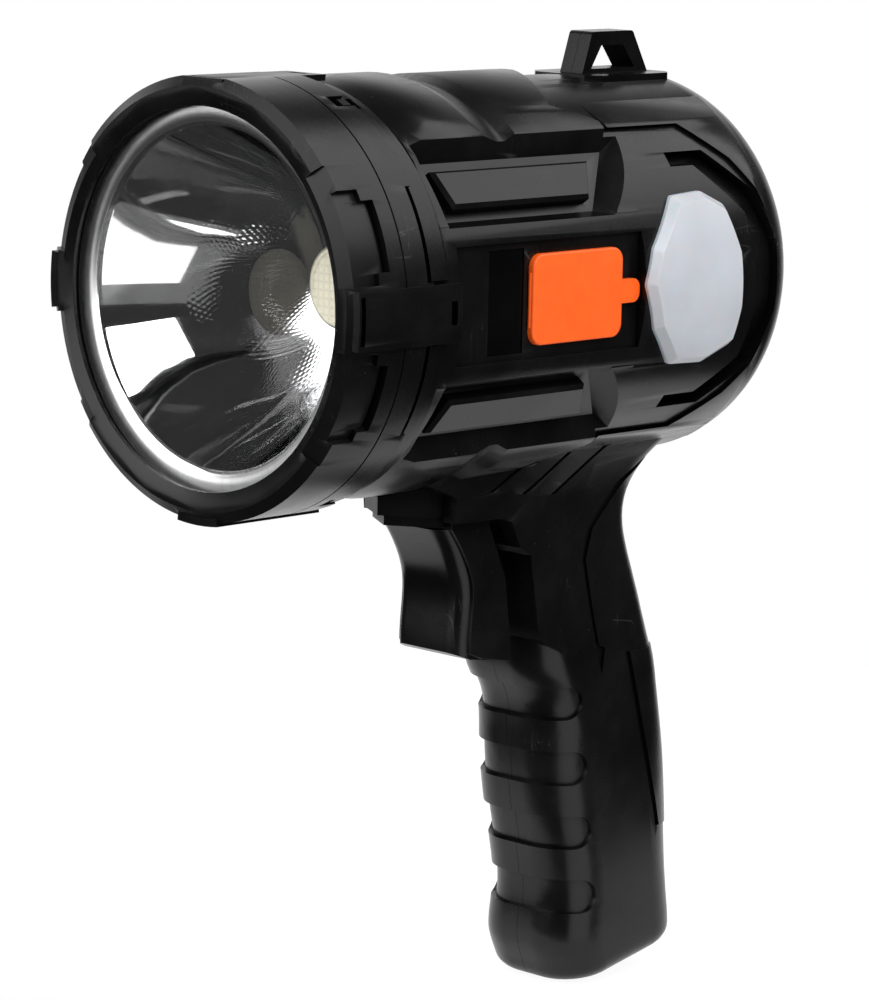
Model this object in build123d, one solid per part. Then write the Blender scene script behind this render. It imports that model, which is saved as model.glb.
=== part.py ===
from build123d import *
import math
import os

# Handheld searchlight with a pistol grip. Millimetres, +Z up, lens towards minus Y.
# The pieces are drawn about the barrel's axis, with the bezel's front edge at Y zero,
# and placed at the end so that the origin lies in the middle of the hand grip.

# Shared clearances
overrun = 2.0
fit_gap = 0.2
part_gap = 0.3
seam_gap = 0.1

# Barrel of the two housing halves
barrel_step = 3.7
barrel_wall = 4.8
barrel_length = 160.5
dome_radius = 18.0
collar_inset = 0.9
collar_ridge = 0.7
collar_length = 8.4
collar_slope = 2.6
spigot_wall = 2.9
spigot_depth = 6.4
top_rise = 1.8
top_swell = 1.4
facet_low_angle = 40.0
facet_high_angle = 49.5
top_length = 66.0

# Bezel, snapped over the housing's spigot
bezel_radius = 50.5
bezel_wall = 3.2
bezel_length = 25.0
bezel_chamfer = 1.6
lip_width = 3.7
lip_slope = 2.4
lip_recess = 1.0
lip_thickness = 2.0
top_flat = 0.5
lug_rise = 0.9
lug_angle = 7.4
lug_front = 0.9
tongue_length = 8.0
latch_width = 5.4
latch_length = 1.9
pocket_depth = 1.4
pocket_front = 1.2
pocket_rear = 11.8
pocket_near_angle = 8.6
pocket_far_angle = 33.6
ramp_width = 4.5
ramp_depth = 2.3
ramp_far_angle = 41.0
pocket_slot = 1.3
pocket_slot_depth = 2.3
groove_depth = 1.9
groove_width = 1.3
groove_front = 1.5
groove_near_angle = 6.0
slot_width = 1.9
slot_near_angle = 8.0
slot_far_angle = 33.5
window_angle = 64.0
window_width = 4.4
window_length = 8.0
nub_width = 2.6
nub_length = 2.4
seam_line = 16.2
seam_line_depth = 0.25

# Lens, gasket and reflector
lens_thickness = 1.6
gasket_thickness = 0.8
gasket_width = 2.5
flange_width = 3.8
reflector_tail = 9.8
reflector_depth = 40.5
reflector_wall = 1.3
flange_thickness = 1.2
reflector_points = 14

# Light emitter, its board and the heat sink
emitter_radius = 8.2
emitter_thickness = 1.0
emitter_ring = 1.2
led_board_radius = 20.5
led_board_thickness = 1.6
sink_radius = 24.5
sink_plate = 2.4
sink_fin_length = 11.0
sink_fin_thickness = 1.4
sink_fins = 7
bulkhead_thickness = 1.9
sink_ledge = 3.7

# Screws
small_head_radius = 1.7
small_head_height = 1.3
small_shank_radius = 0.95
small_shank_length = 3.4
led_screw_angle = 45.0
sink_screw_angle = 22.5
case_head_radius = 2.6
case_head_height = 2.0
case_shank_radius = 1.35
case_shank_length = 19.0
case_seat = 11.0
boss_wall = 1.7
recess_depth_share = 0.55

# Side pockets with their bars
trough_angle = 35.0
trough_half = 10.2
trough_depth = 3.6
trough_lift = 2.4
trough_front = 35.0
trough_length = 64.0
bar_sink = 0.4
bar_edge = 0.9

# Port panel on the left side, with the indicator window and the ports
panel_front = 37.2
panel_length = 62.0
panel_half = 13.6
panel_sink = 3.0
window_pane_front = 49.0
window_pane_length = 11.5
window_pane_half = 12.0
window_pane_thickness = 1.6
window_pane_sink = 0.3
window_ledge = 1.8
cover_front = 62.0
cover_length = 30.4
cover_half = 10.5
cover_thickness = 1.7
cover_round = 3.2
cover_plug_depth = 1.1
cover_margin = 2.4
tab_length = 6.2
tab_half = 2.8
hinge_bead = 1.0
cover_open_angle = 115.0

# Control board behind the panel
board_thickness = 1.6
board_front = 52.0
board_length = 45.0
board_half = 14.0
socket_height = 13.0
output_half_width = 6.6
output_half_height = 2.9
input_half_width = 4.5
input_half_height = 1.7
socket_shell = 0.5
socket_tongue = 1.2
output_share = 0.66
input_share = 0.24
post_radius = 2.6
post_inset = 3.2
chip_length = 9.0
chip_height = 1.8
coil_radius = 3.6
coil_height = 4.4
indicator_count = 4
indicator_size = 2.4
indicator_height = 1.2

# Side lamp
field_front = 103.0
field_length = 44.5
field_half = 35.6
channel_depth = 3.2
ridge_rise = 0.9
ridge_angle = 63.3
ridge_fade = 0.18
lamp_front = 98.4
lamp_length = 34.5
lamp_half = 20.4
lamp_centre = 1.3
lamp_rise = 2.6
lamp_wall = 1.6
lamp_edge = 1.7
lamp_corner = 2.2
well_depth = 7.3
well_floor = 1.5
well_inset = 6.6
lamp_board_thickness = 1.2
lamp_led_size = 3.2
lamp_led_height = 0.8
lamp_led_rows = 3
lamp_wire_hole = 2.2

# Lanyard loop on its pad
loop_front = 121.6
loop_length = 25.2
loop_rise = 10.2
loop_half = 3.7
loop_bar = 3.4
pad_half = 11.5
pad_margin = 3.4
pad_rise = 0.2

# Trigger hood and nose under the barrel
hood_front = 69.2
hood_drop = 9.8
nose_front = 58.6
nose_half = 11.0
nose_sweep = 6.6
nose_drop = 8.5
nose_lip = 2.2
nose_lip_drop = 2.6
slash_width = 1.2
slash_depth = 1.0

# Neck and grip
neck_sink = 12.8
grip_length = 150.0
grip_width = 34.0
grip_depth = 45.0
grip_front = 102.5
grip_wall = 2.5
grip_rake = 8.0
foot_drop = 130.0
grip_foot_tilt = 11.0
grip_foot_round = 4.5
scoop_count = 4
scoop_drop = 58.8
scoop_pitch = 16.6
scoop_half = 4.3
scoop_reach = 11.6
scoop_depth = 1.3
strap_rise = 0.35
strap_groove = 1.3
line_depth = 0.8

# Trigger, its pin, spring and switch
trigger_half = 11.0
trigger_step = 1.0
trigger_setback = 3.2
trigger_front = 68.6
trigger_depth = 22.0
trigger_drop = 11.6
trigger_height = 34.6
trigger_round = 4.2
trigger_wall = 2.2
trigger_angle = 6.0
pivot_y = 82.0
pivot_depth = 3.8
hub_radius = 4.0
pin_radius = 1.5
pin_seat = 2.4
well_front = 70.6
well_sink = 2.2
spring_depth = 13.4
spring_radius = 2.4
spring_wire = 0.6
spring_turns = 5
spring_seat = 6.4
stem_half = 2.0
stem_depth = 23.8
switch_length = 20.0
switch_depth = 10.2
switch_width = 6.4
plunger_radius = 1.5
plunger_length = 2.6
switch_front = 101.2
switch_drop = 17.8
switch_rib = 1.6

# Cell, its tray and contacts
cell_radius = 9.3
cell_length = 65.2
cell_cap_radius = 3.2
cell_cap_height = 1.2
tray_wall = 1.5
tray_end = 1.6
tray_centre_y = 125.0
tray_depth = 84.2
tray_rake = 7.5
contact_thickness = 0.6
coil_wire = 0.8
coil_turns = 3
coil_space = 5.0
contact_coil_radius = 4.0

# Insulated wires
wire_radius = 0.65
wire_bend = 2.2

# Values that follow from the sizes above
barrel_radius = bezel_radius - barrel_step
bezel_bore = bezel_radius - bezel_wall
spigot_radius = bezel_bore - fit_gap
spigot_bore = spigot_radius - spigot_wall
lens_radius = bezel_bore - part_gap
reflector_mouth = bezel_bore - lip_width - flange_width
lens_front = lip_thickness
gasket_front = lens_front + lens_thickness
flange_front = gasket_front + gasket_thickness
spigot_front = flange_front + flange_thickness + fit_gap
reflector_end = flange_front + reflector_depth
housing_front = bezel_length + fit_gap
cavity_radius = barrel_radius - barrel_wall
led_board_front = reflector_end + part_gap
sink_front = led_board_front + led_board_thickness
bulkhead_front = sink_front + sink_plate
top_radius = barrel_radius + top_rise
collar_radius = bezel_radius - collar_inset
panel_plane = barrel_radius - panel_sink
pad_top = barrel_radius + pad_rise
loop_top = barrel_radius + loop_rise
hood_bottom = barrel_radius + hood_drop
nose_bottom = barrel_radius + nose_drop
grip_top = barrel_radius - neck_sink
grip_foot = barrel_radius + foot_drop
scoop_first = barrel_radius + scoop_drop
trigger_top = barrel_radius + trigger_drop
pivot_drop = barrel_radius + pivot_depth
well_top = barrel_radius - well_sink
spring_drop = barrel_radius + spring_depth
stem_drop = barrel_radius + stem_depth
switch_top = barrel_radius + switch_drop
tray_centre_drop = barrel_radius + tray_depth
board_face = panel_plane - cover_plug_depth - part_gap - socket_height
board_back = board_face - board_thickness
case_boss_radius = case_head_radius + part_gap + boss_wall
housing_reach = 2 * (barrel_radius + barrel_length)

case_places = (
    (0.36 * barrel_length, 0.77 * barrel_radius),
    (0.35 * barrel_length, -0.79 * barrel_radius),
    (0.865 * barrel_length, 0.66 * barrel_radius),
    (0.865 * barrel_length, -0.66 * barrel_radius),
    (grip_front + 0.54 * grip_depth, -grip_top - 0.28 * grip_length),
    (grip_front + 0.95 * grip_depth, -grip_top - 0.775 * grip_length),
)

# Rows of drop, front, depth, width and corner, as shares of the grip's sizes
grip_section_shares = (
    (0.000, -0.48, 1.50, 1.50, 0.24),
    (0.060, -0.36, 1.17, 1.26, 0.24),
    (0.120, -0.25, 0.93, 1.07, 0.26),
    (0.180, -0.20, 0.86, 0.98, 0.26),
    (0.240, -0.16, 0.88, 0.96, 0.27),
    (0.310, -0.12, 0.94, 0.96, 0.29),
    (0.380, -0.085, 1.00, 0.98, 0.33),
    (0.425, -0.055, 1.03, 1.00, 0.36),
    (0.470, 0.015, 1.00, 1.00, 0.38),
    (0.560, 0.06, 1.01, 1.00, 0.38),
    (0.700, 0.13, 0.99, 1.00, 0.38),
    (0.830, 0.19, 0.97, 1.00, 0.38),
    (0.900, 0.185, 0.995, 1.02, 0.38),
    (1.000, 0.17, 1.04, 1.03, 0.38),
)


def turned(points, smooth=False):
    """Solid of revolution about the barrel's axis from points of radius and length."""
    line = Polyline(*points, close=True)
    return revolve(make_face(line), Axis.Y)


def ring(outer, inner, front, rear):
    return turned([(inner, front), (outer, front), (outer, rear), (inner, rear)])


def round_bar(radius, front, rear, x=0.0, z=0.0):
    """Cylinder along Y."""
    bar = Cylinder(radius, rear - front, rotation=(90, 0, 0))
    return Pos(x, (front + rear) / 2, z) * bar


def cross_bar(radius, left, right, y, z):
    """Cylinder along X."""
    bar = Cylinder(radius, right - left, rotation=(0, 90, 0))
    return Pos((left + right) / 2, y, z) * bar


def block(x0, x1, y0, y1, z0, z1):
    return Pos((x0 + x1) / 2, (y0 + y1) / 2, (z0 + z1) / 2) * Box(x1 - x0, y1 - y0, z1 - z0)


def side_prism(points, x0, x1):
    """Prism along X over an outline of Y and Z."""
    face = make_face(Plane.YZ * Polyline(*points, close=True))
    return Pos(x0, 0, 0) * extrude(face, x1 - x0, dir=(1, 0, 0))


def at_angle(shape, degrees):
    """Turn a shape about the barrel's axis, counted from plus X towards plus Z."""
    return Rot(0, -degrees, 0) * shape


def sector(inner, outer, front, rear, start, end):
    """Part of a ring between two angles."""
    middle = math.radians((start + end) / 2)
    half = math.radians(end - start) / 2
    reach = outer / math.cos(half) + overrun
    corners = [(0, 0)]
    for turn in (middle - half, middle, middle + half):
        corners.append((reach * math.cos(turn), reach * math.sin(turn)))
    wedge = make_face(Plane.XZ * Polyline(*corners, close=True))
    wedge = Pos(0, front - overrun, 0) * extrude(wedge, rear - front + 2 * overrun, dir=(0, 1, 0))
    return ring(outer, inner, front, rear) & wedge


def mirrored(shape):
    return mirror(shape, Plane.YZ)


def both_ways(shape):
    """A shape and its copy below the axis."""
    return [shape, mirror(shape, Plane.XY)]


def screw(head_radius, head_height, shank_radius, shank_length):
    """Cross recess screw, its head below and its shank up along Z, seated at zero."""
    body = Pos(0, 0, shank_length / 2) * Cylinder(shank_radius, shank_length)
    head = Pos(0, 0, -head_height / 2) * Cylinder(head_radius, head_height)
    depth = head_height * recess_depth_share
    slot_length = head_radius * recess_depth_share * 2
    slot_thickness = head_radius * recess_depth_share / 2
    recess = Box(slot_length, slot_thickness, 2 * depth) + Box(slot_thickness, slot_length, 2 * depth)
    return body + head - Pos(0, 0, -head_height) * recess


def tube(points, radius, bend):
    """Insulated wire along straight runs joined by tangent arcs."""
    path = FilletPolyline(*points, radius=bend)
    start = Plane(origin=path @ 0, z_dir=path % 0)
    return sweep(start * Circle(radius), path=path)


def helix_point(radius, height, turns, share):
    """Point and direction of a helix at a share of its length."""
    turn = 2 * math.pi * turns * share
    point = Vector(radius * math.cos(turn), radius * math.sin(turn), height * share)
    run = 2 * math.pi * turns * radius
    direction = Vector(-run * math.sin(turn), run * math.cos(turn), height).normalized()
    return point, direction


def biarc(start, start_way, end, end_way):
    """Two tangent arcs from one point and direction to another."""
    span = end - start
    ways = start_way + end_way
    bend = 2 * (1 - start_way.dot(end_way))
    lean = span.dot(ways)
    reach = (math.sqrt(lean * lean + bend * span.dot(span)) - lean) / bend
    middle = (start + end + (start_way - end_way) * reach) * 0.5
    first = TangentArc(start, middle, tangent=start_way)
    second = TangentArc(middle, end, tangent=first % 1)
    return [first, second]


def helix_spring(radius, wire, height, turns):
    """Compression spring along Z as one tube on quarter turn biarcs."""
    quarters = 4 * turns
    knots = [helix_point(radius, height, turns, n / quarters) for n in range(quarters + 1)]
    arcs = []
    for (start, start_way), (end, end_way) in zip(knots, knots[1:]):
        arcs.extend(biarc(start, start_way, end, end_way))
    path = Wire(arcs)
    per_turn = 24
    points = [path @ (n / (per_turn * turns)) for n in range(per_turn * turns + 1)]
    gaps = []
    for n, point in enumerate(points):
        gaps.extend((point - other).length - 2 * wire for other in points[n + per_turn // 2:])
    print("spring gap to itself", round(min(gaps), 2), "bend", radius, "wire", wire)
    start = Plane(origin=path @ 0, z_dir=path % 0)
    return sweep(start * Circle(wire), path=path)


def grip_face(row, inset):
    drop, front, depth, width, corner = row
    wide = grip_width * width - 2 * inset
    deep = grip_depth * depth - 2 * inset
    middle = grip_front + grip_depth * (front + depth / 2)
    radius = grip_width * corner - inset
    place = Pos(0, middle, -grip_top - grip_length * drop)
    return place * RectangleRounded(wide, deep, radius)


def grip_form(inset):
    """Neck and grip as one smooth body, drawn in by an inset."""
    return loft([grip_face(row, inset) for row in grip_section_shares])


def foot_plane_cut(lift):
    """Everything below the tilted underside of the grip."""
    size = grip_length
    cut = Pos(0, 0, -size / 2) * Box(size, 2 * size, size)
    turn = Rot(grip_foot_tilt, 0, 0)
    return Pos(0, grip_front + grip_depth / 2, -grip_foot + lift) * turn * cut


def bezel_pocket():
    """Recessed panel beside a lug, with its slanted corners and a deeper slot at its rear edge."""
    start = pocket_near_angle
    end = pocket_far_angle
    shell = sector(
        bezel_radius - pocket_depth, bezel_radius + overrun, pocket_front, pocket_rear, start, end)
    slant = (pocket_rear - pocket_front) / 3
    lean = (end - start) / 8
    reach = bezel_radius + 2 * overrun
    shell -= sector(0, reach, pocket_rear - slant, pocket_rear + overrun, start - 1, start + lean)
    shell -= sector(0, reach, pocket_rear - slant, pocket_rear + overrun, end - lean, end + 1)
    shell += sector(
        bezel_radius - pocket_slot_depth, bezel_radius + overrun, pocket_rear - pocket_slot, pocket_rear,
        start + lean, end - lean)
    return shell


def bezel_ramp():
    """Front face sloped back beside a lug, past the pocket's far end."""
    inner = bezel_radius - ramp_width
    reach = bezel_radius + ramp_width
    profile = [(inner, 0), (reach, 2 * ramp_depth), (reach, -overrun), (inner, -overrun)]
    wedge = sector(spigot_bore, 2 * reach, -overrun, pocket_rear, pocket_near_angle, ramp_far_angle)
    return turned(profile) & wedge


def bezel():
    front_edge = bezel_radius - bezel_chamfer
    profile = [
        (bezel_bore - lip_width, lip_recess),
        (bezel_bore - lip_width + lip_slope, 0),
        (front_edge - bezel_chamfer / 2, 0),
        (bezel_radius, bezel_chamfer),
        (bezel_radius, seam_line),
        (bezel_radius - seam_line_depth, seam_line),
        (bezel_radius - seam_line_depth, seam_line + 2 * seam_line_depth),
        (bezel_radius, seam_line + 2 * seam_line_depth),
        (bezel_radius, bezel_length),
        (bezel_bore, bezel_length),
        (bezel_bore, lip_thickness),
        (bezel_bore - lip_width, lip_thickness),
    ]
    body = turned(profile)
    top = bezel_radius + lug_rise
    root = bezel_radius - bezel_wall / 2
    lug = sector(root, top, lug_front, bezel_length + tongue_length, -lug_angle, lug_angle)
    latch_rear = bezel_length + 0.8 * tongue_length
    half = latch_width / 2
    latch = block(0, top + overrun, latch_rear - latch_length, latch_rear, -half, half)
    lug -= latch
    tip = groove_front + groove_width
    near = groove_near_angle
    front_slot = sector(top - groove_depth, top + overrun, groove_front, tip, -near, near)
    cuts = []
    pocket = bezel_pocket()
    slot = sector(
        spigot_bore, bezel_radius + overrun, bezel_length - slot_width, bezel_length + overrun,
        slot_near_angle, slot_far_angle)
    for quarter in range(4):
        body += at_angle(lug, 90 * quarter)
        cuts.append(at_angle(front_slot, 90 * quarter))
    for shape in (pocket, bezel_ramp(), slot):
        for cut in both_ways(shape):
            cuts.extend([cut, mirrored(cut)])
    cuts.extend(snap_windows(0))
    for cut in cuts:
        body -= cut
    wide = 2 * bezel_radius
    rear = bezel_length + tongue_length + overrun
    return body - block(-wide, wide, -overrun, rear, bezel_radius - top_flat, wide)


def snap_windows(trim):
    """Windows for the four snap hooks, drawn in by a trim."""
    half = window_width / 2 - trim
    front = bezel_length + collar_slope - window_length + trim
    rear = bezel_length + collar_slope - trim
    window = block(spigot_radius - overrun, bezel_radius + overrun, front, rear, -half, half)
    angles = (window_angle, 180 - window_angle, 180 + window_angle, -window_angle)
    return [at_angle(window, angle) for angle in angles]


def lens():
    disc = round_bar(lens_radius, lens_front, lens_front + lens_thickness)
    return chamfer(disc.edges().filter_by(GeomType.CIRCLE), lens_thickness / 8)


def gasket():
    return ring(lens_radius, lens_radius - gasket_width, gasket_front, gasket_front + gasket_thickness)


def reflector_curve(offset):
    """Parabola from the mouth to the tail, as points of radius and length."""
    steepness = (reflector_mouth ** 2 - reflector_tail ** 2) / reflector_depth
    vertex = flange_front + reflector_mouth ** 2 / steepness
    points = []
    for step in range(reflector_points + 1):
        length = flange_front + reflector_depth * step / reflector_points
        points.append((math.sqrt(steepness * (vertex - length)) + offset, length))
    return points


def reflector():
    inside = Spline(*reflector_curve(0))
    outside = Spline(*reflector_curve(reflector_wall))
    tail = Line(inside @ 1, outside @ 1)
    mouth = Line(inside @ 0, outside @ 0)
    shell = revolve(make_face([inside, tail, outside, mouth]), Axis.Y)
    flange = ring(lens_radius, reflector_mouth, flange_front, flange_front + flange_thickness)
    return shell + flange


def emitter():
    front = led_board_front - emitter_thickness
    disc = round_bar(emitter_radius, front, led_board_front)
    step = front + emitter_thickness / 2
    rim = ring(emitter_radius + emitter_ring, emitter_radius, step, led_board_front)
    return disc + rim


def around(shape, count, start):
    """Copies of a shape spaced evenly about the barrel's axis."""
    return [at_angle(shape, start + 360 * n / count) for n in range(count)]


def led_screw_radius():
    return led_board_radius - small_head_radius - part_gap


def sink_screw_radius():
    return sink_radius - small_head_radius


def flat_screw(radius, seat):
    """Small screw along plus Y at a radius, seated at a length."""
    turned_screw = Rot(-90, 0, 0) * screw(
        small_head_radius, small_head_height, small_shank_radius, small_shank_length)
    return Pos(radius, seat, 0) * turned_screw


def screw_hole(radius, seat, length):
    return Pos(radius, 0, 0) * round_bar(small_shank_radius, seat - overrun, seat + length)


def led_board():
    disc = round_bar(led_board_radius, led_board_front, sink_front)
    hole = screw_hole(led_screw_radius(), led_board_front, led_board_thickness + overrun)
    for cut in around(hole, 4, led_screw_angle):
        disc -= cut
    return disc


def heat_sink():
    plate = round_bar(sink_radius, sink_front, bulkhead_front)
    core = round_bar(sink_radius - sink_ledge - part_gap, bulkhead_front, bulkhead_front + sink_fin_length)
    pitch = 2 * (sink_radius - sink_ledge) / sink_fins
    body = plate
    for number in range(sink_fins):
        middle = (number - (sink_fins - 1) / 2) * pitch
        half = sink_fin_thickness / 2
        fin = block(
            -sink_radius, sink_radius, bulkhead_front, bulkhead_front + sink_fin_length,
            middle - half, middle + half)
        body += fin & core
    led_hole = screw_hole(led_screw_radius(), sink_front, small_shank_length - led_board_thickness)
    for cut in around(led_hole, 4, led_screw_angle):
        body -= cut
    sink_hole = screw_hole(sink_screw_radius(), sink_front, sink_plate + overrun)
    for cut in around(sink_hole, 4, sink_screw_angle):
        body -= cut
    return body


def trough_plane(angle):
    turn = math.radians(angle)
    out = Vector(math.cos(turn), 0, math.sin(turn))
    along = Vector(0, 1, 0)
    return Plane(origin=out * barrel_radius, x_dir=along, z_dir=out)


def trough_outline(plane, shares, lift):
    """Outline over a side pocket from shares of its length and of its half width."""
    points = [(trough_front + a * trough_length, b * trough_half) for a, b in shares]
    return plane * Pos(0, 0, lift) * make_face(Polyline(*points, close=True))


def trough_cut():
    """Slanted pocket less the raised bar that stands in it."""
    plane = trough_plane(trough_angle)
    rim = trough_outline(plane, trough_rim_shares, trough_lift)
    floor = trough_outline(plane, trough_floor_shares, -trough_depth)
    bar = trough_outline(plane, trough_bar_shares, -trough_depth - overrun)
    bar = extrude(bar, trough_depth + overrun - bar_sink, dir=plane.z_dir)
    bar = chamfer(outer_face(bar, plane).edges(), bar_edge)
    return loft([rim, floor]) - bar


def outer_face(shape, plane):
    """The face of a shape that lies furthest out along a plane's normal."""
    return max(shape.faces(), key=lambda face: face.center().dot(plane.z_dir))


# Corners of the side pocket and its bar, as shares of its length and half width
trough_rim_shares = ((-0.017, 1.39), (0.005, -1.39), (0.973, -1.39), (1.19, 1.39))
trough_floor_shares = ((0.0125, 0.745), (0.034, -0.745), (0.82, -0.745), (1.0, 0.745))
trough_bar_shares = ((0.047, 0.42), (0.083, -0.54), (0.789, -0.54), (0.867, 0.42))


def top_zone():
    """Raised roof of the barrel with two swells, its flat facets and slanted rear edge."""
    high = top_radius
    low = barrel_radius + top_rise / 4
    crest = high + top_swell / 2
    start = housing_front + collar_length
    end = start + top_length
    profile = [
        (0, start), (low, start), (high, start + 0.08 * top_length), (crest, start + 0.15 * top_length),
        (crest, start + 0.34 * top_length), (low, start + 0.45 * top_length),
        (low, start + 0.49 * top_length), (high, start + 0.54 * top_length), (high, end), (0, end),
    ]
    roof = turned(profile)
    low_turn = math.radians(facet_low_angle)
    high_turn = math.radians(facet_high_angle)
    low_point = Vector(barrel_radius * math.cos(low_turn), barrel_radius * math.sin(low_turn))
    high_point = Vector(high * math.cos(high_turn), high * math.sin(high_turn))
    run = (high_point - low_point).normalized() * barrel_radius
    upper = high_point + run
    lower = low_point - run * 0.3
    outline = [
        (lower.X, lower.Y), (upper.X, upper.Y), (-upper.X, upper.Y), (-lower.X, lower.Y),
    ]
    slab = make_face(Plane.XZ * Polyline(*outline, close=True))
    slab = Pos(0, start - overrun, 0) * extrude(slab, top_length + 2 * overrun, dir=(0, 1, 0))
    roof = roof & slab
    cut_back = 0.17 * top_length
    inner = 0.52 * barrel_radius
    outer = barrel_radius
    top = high + 2 * top_swell
    for side in (1, -1):
        corner = [
            (-side * overrun, end + overrun), (side * inner, end - cut_back),
            (side * outer * 0.66, end + overrun),
        ]
        hollow = make_face(Polyline(*corner, close=True))
        roof -= extrude(hollow, top, dir=(0, 0, 1))
    return roof


def collar():
    start = housing_front
    flat_end = start + collar_length - collar_slope
    ridge = collar_ridge
    profile = [
        (0, start), (collar_radius, start), (collar_radius, start + 0.35 * collar_length),
        (collar_radius - ridge, start + 0.35 * collar_length + ridge / 2),
        (collar_radius - ridge, flat_end), (barrel_radius, flat_end + collar_slope),
        (0, flat_end + collar_slope),
    ]
    body = turned(profile)
    notch = sector(
        spigot_bore, collar_radius + overrun, start - overrun, bezel_length + tongue_length + fit_gap,
        -lug_angle - 1, lug_angle + 1)
    floor = ring(spigot_radius, 0, start, bezel_length + tongue_length + fit_gap)
    notch -= floor
    for quarter in range(4):
        body -= at_angle(notch, 90 * quarter)
    for window in snap_windows(0):
        body -= window
    return body


def spigot():
    body = round_bar(spigot_radius, spigot_front, housing_front + overrun)
    hook = snap_hook()
    angles = (window_angle, 180 - window_angle, 180 + window_angle, -window_angle)
    for angle in angles:
        body += at_angle(hook, angle)
    latch_rear = bezel_length + 0.8 * tongue_length - fit_gap
    half = latch_width / 2 - fit_gap
    latch_front = latch_rear - latch_length + 2 * fit_gap
    catch = block(spigot_bore, bezel_radius - pocket_depth, latch_front, latch_rear, -half, half)
    for quarter in range(4):
        body += at_angle(catch, 90 * quarter)
    return body


def snap_hook():
    middle = bezel_length + collar_slope - window_length / 2
    half = nub_width / 2
    top = bezel_radius - pocket_depth / 4
    return block(spigot_bore, top, middle - nub_length / 2, middle + nub_length / 2, -half, half)


# Corners round the side lamp, as shares of the field's length and half width
ridge_shares = ((-0.1, 1.03), (0.53, 1.03), (0.773, 0.80), (0.881, 0.61), (1.02, 0.24))
channel_outer_shares = (
    (0.303, 0.857), (0.607, 0.857), (0.888, 0.576), (1.0, 0.225), (1.0, -0.225), (0.888, -0.59),
    (0.63, -0.857), (0.303, -0.857),
)
channel_inner_shares = (
    (0.236, 0.767), (0.483, 0.767), (0.764, 0.45), (0.798, 0.225), (0.809, -0.225), (0.775, -0.534),
    (0.54, -0.767), (0.236, -0.767),
)


def field_points(shares):
    return [(field_front + a * field_length, b * field_half) for a, b in shares]


def ridge():
    """Raised edge over and behind the side lamps, flush with the barrel towards the top."""
    front = field_front - ridge_rise
    bend = barrel_length - dome_radius
    run = ridge_fade * dome_radius
    high = barrel_radius + ridge_rise
    low = barrel_radius - dome_radius + math.sqrt(dome_radius ** 2 - run ** 2)
    hoop = turned([(0, front), (high, front), (high, bend), (low, bend + run), (0, bend + run)])
    turn = math.radians(ridge_angle)
    across = barrel_radius / math.cos(turn)
    over = barrel_radius / math.sin(turn)
    crest = barrel_radius * math.sin(turn)
    flats = make_face(Plane.XZ * Polyline((across, 0), (0, over), (-across, 0), (0, -over), close=True))
    flats = extrude(flats, barrel_length + overrun, dir=(0, 1, 0))
    flats = flats & block(-across, across, 0, 2 * barrel_length, -crest, crest)
    upper = field_points(ridge_shares)
    outline = upper + [(y, -z) for y, z in reversed(upper)]
    return hoop & flats - side_prism(outline, -2 * across, 2 * across)


def channel_cut():
    """Groove round the rear of a side lamp, wide behind it and narrow above and below."""
    outer = side_prism(field_points(channel_outer_shares), 0, barrel_radius + 3 * overrun)
    inner = side_prism(field_points(channel_inner_shares), -overrun, barrel_radius + 4 * overrun)
    cut = outer - inner
    return cut - ring(barrel_radius - channel_depth, 0, 0, barrel_length)


lamp_shares = (
    (0.375, 0.97), (0.68, 1.0), (0.885, 0.83), (0.985, 0.30), (1.0, -0.36), (0.965, -0.80), (0.70, -1.0),
    (0.36, -0.98), (0.12, -0.53), (0.0, 0.0), (0.09, 0.40),
)


def lamp_outline(inset):
    """Outline of the side lamp, pointed towards the ports, as points of Y and Z."""
    middle = lamp_front + lamp_length / 2
    long = lamp_length - 2 * inset
    half = lamp_half - inset
    return [(middle + (a - 0.5) * long, lamp_centre + b * half) for a, b in lamp_shares]


def lamp_prism(inset, x0, x1):
    face = make_face(Plane.YZ * Polyline(*lamp_outline(inset), close=True))
    face = fillet(face.vertices(), lamp_corner)
    return Pos(x0, 0, 0) * extrude(face, x1 - x0, dir=(1, 0, 0))


def skirt_inset():
    return well_inset - well_trim() + fit_gap


def lamp_diffuser():
    """Milky cap: a chamfered shell, an inner flange and a skirt down into the lamp's well."""
    base = barrel_radius + part_gap / 3
    top = barrel_radius + lamp_rise
    outer = lamp_prism(0, 0, 2 * top) & ring(top, base, 0, barrel_length)
    rim_edges = outer.faces().sort_by(lambda face: face.center().X)[-1].edges()
    outer = chamfer(rim_edges, lamp_edge)
    low = well_floor_plane() + lamp_board_thickness + lamp_led_height + part_gap
    skirt = lamp_prism(skirt_inset(), low, 2 * top) & round_bar(base + lamp_wall / 2, 0, barrel_length)
    hollow = lamp_prism(lamp_wall, 0, 2 * top) & ring(top - lamp_wall, base + lamp_wall, 0, barrel_length)
    mouth = lamp_prism(skirt_inset() + lamp_wall, 0, 2 * top) & round_bar(top - lamp_wall, 0, barrel_length)
    return outer + skirt - hollow - mouth


def well_trim():
    return 2 * lamp_wall


def well_floor_plane():
    return barrel_radius - well_depth


def lamp_well_cut():
    return lamp_prism(well_inset - well_trim(), well_floor_plane(), 2 * barrel_radius)


def lamp_well_block():
    floor = well_floor_plane() - well_floor
    return lamp_prism(well_inset - 2 * well_trim(), floor, barrel_radius - part_gap)


def lamp_board_outline_inset():
    return well_inset - well_trim() + part_gap


def lamp_board():
    floor = well_floor_plane()
    return lamp_prism(lamp_board_outline_inset(), floor, floor + lamp_board_thickness)


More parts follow.
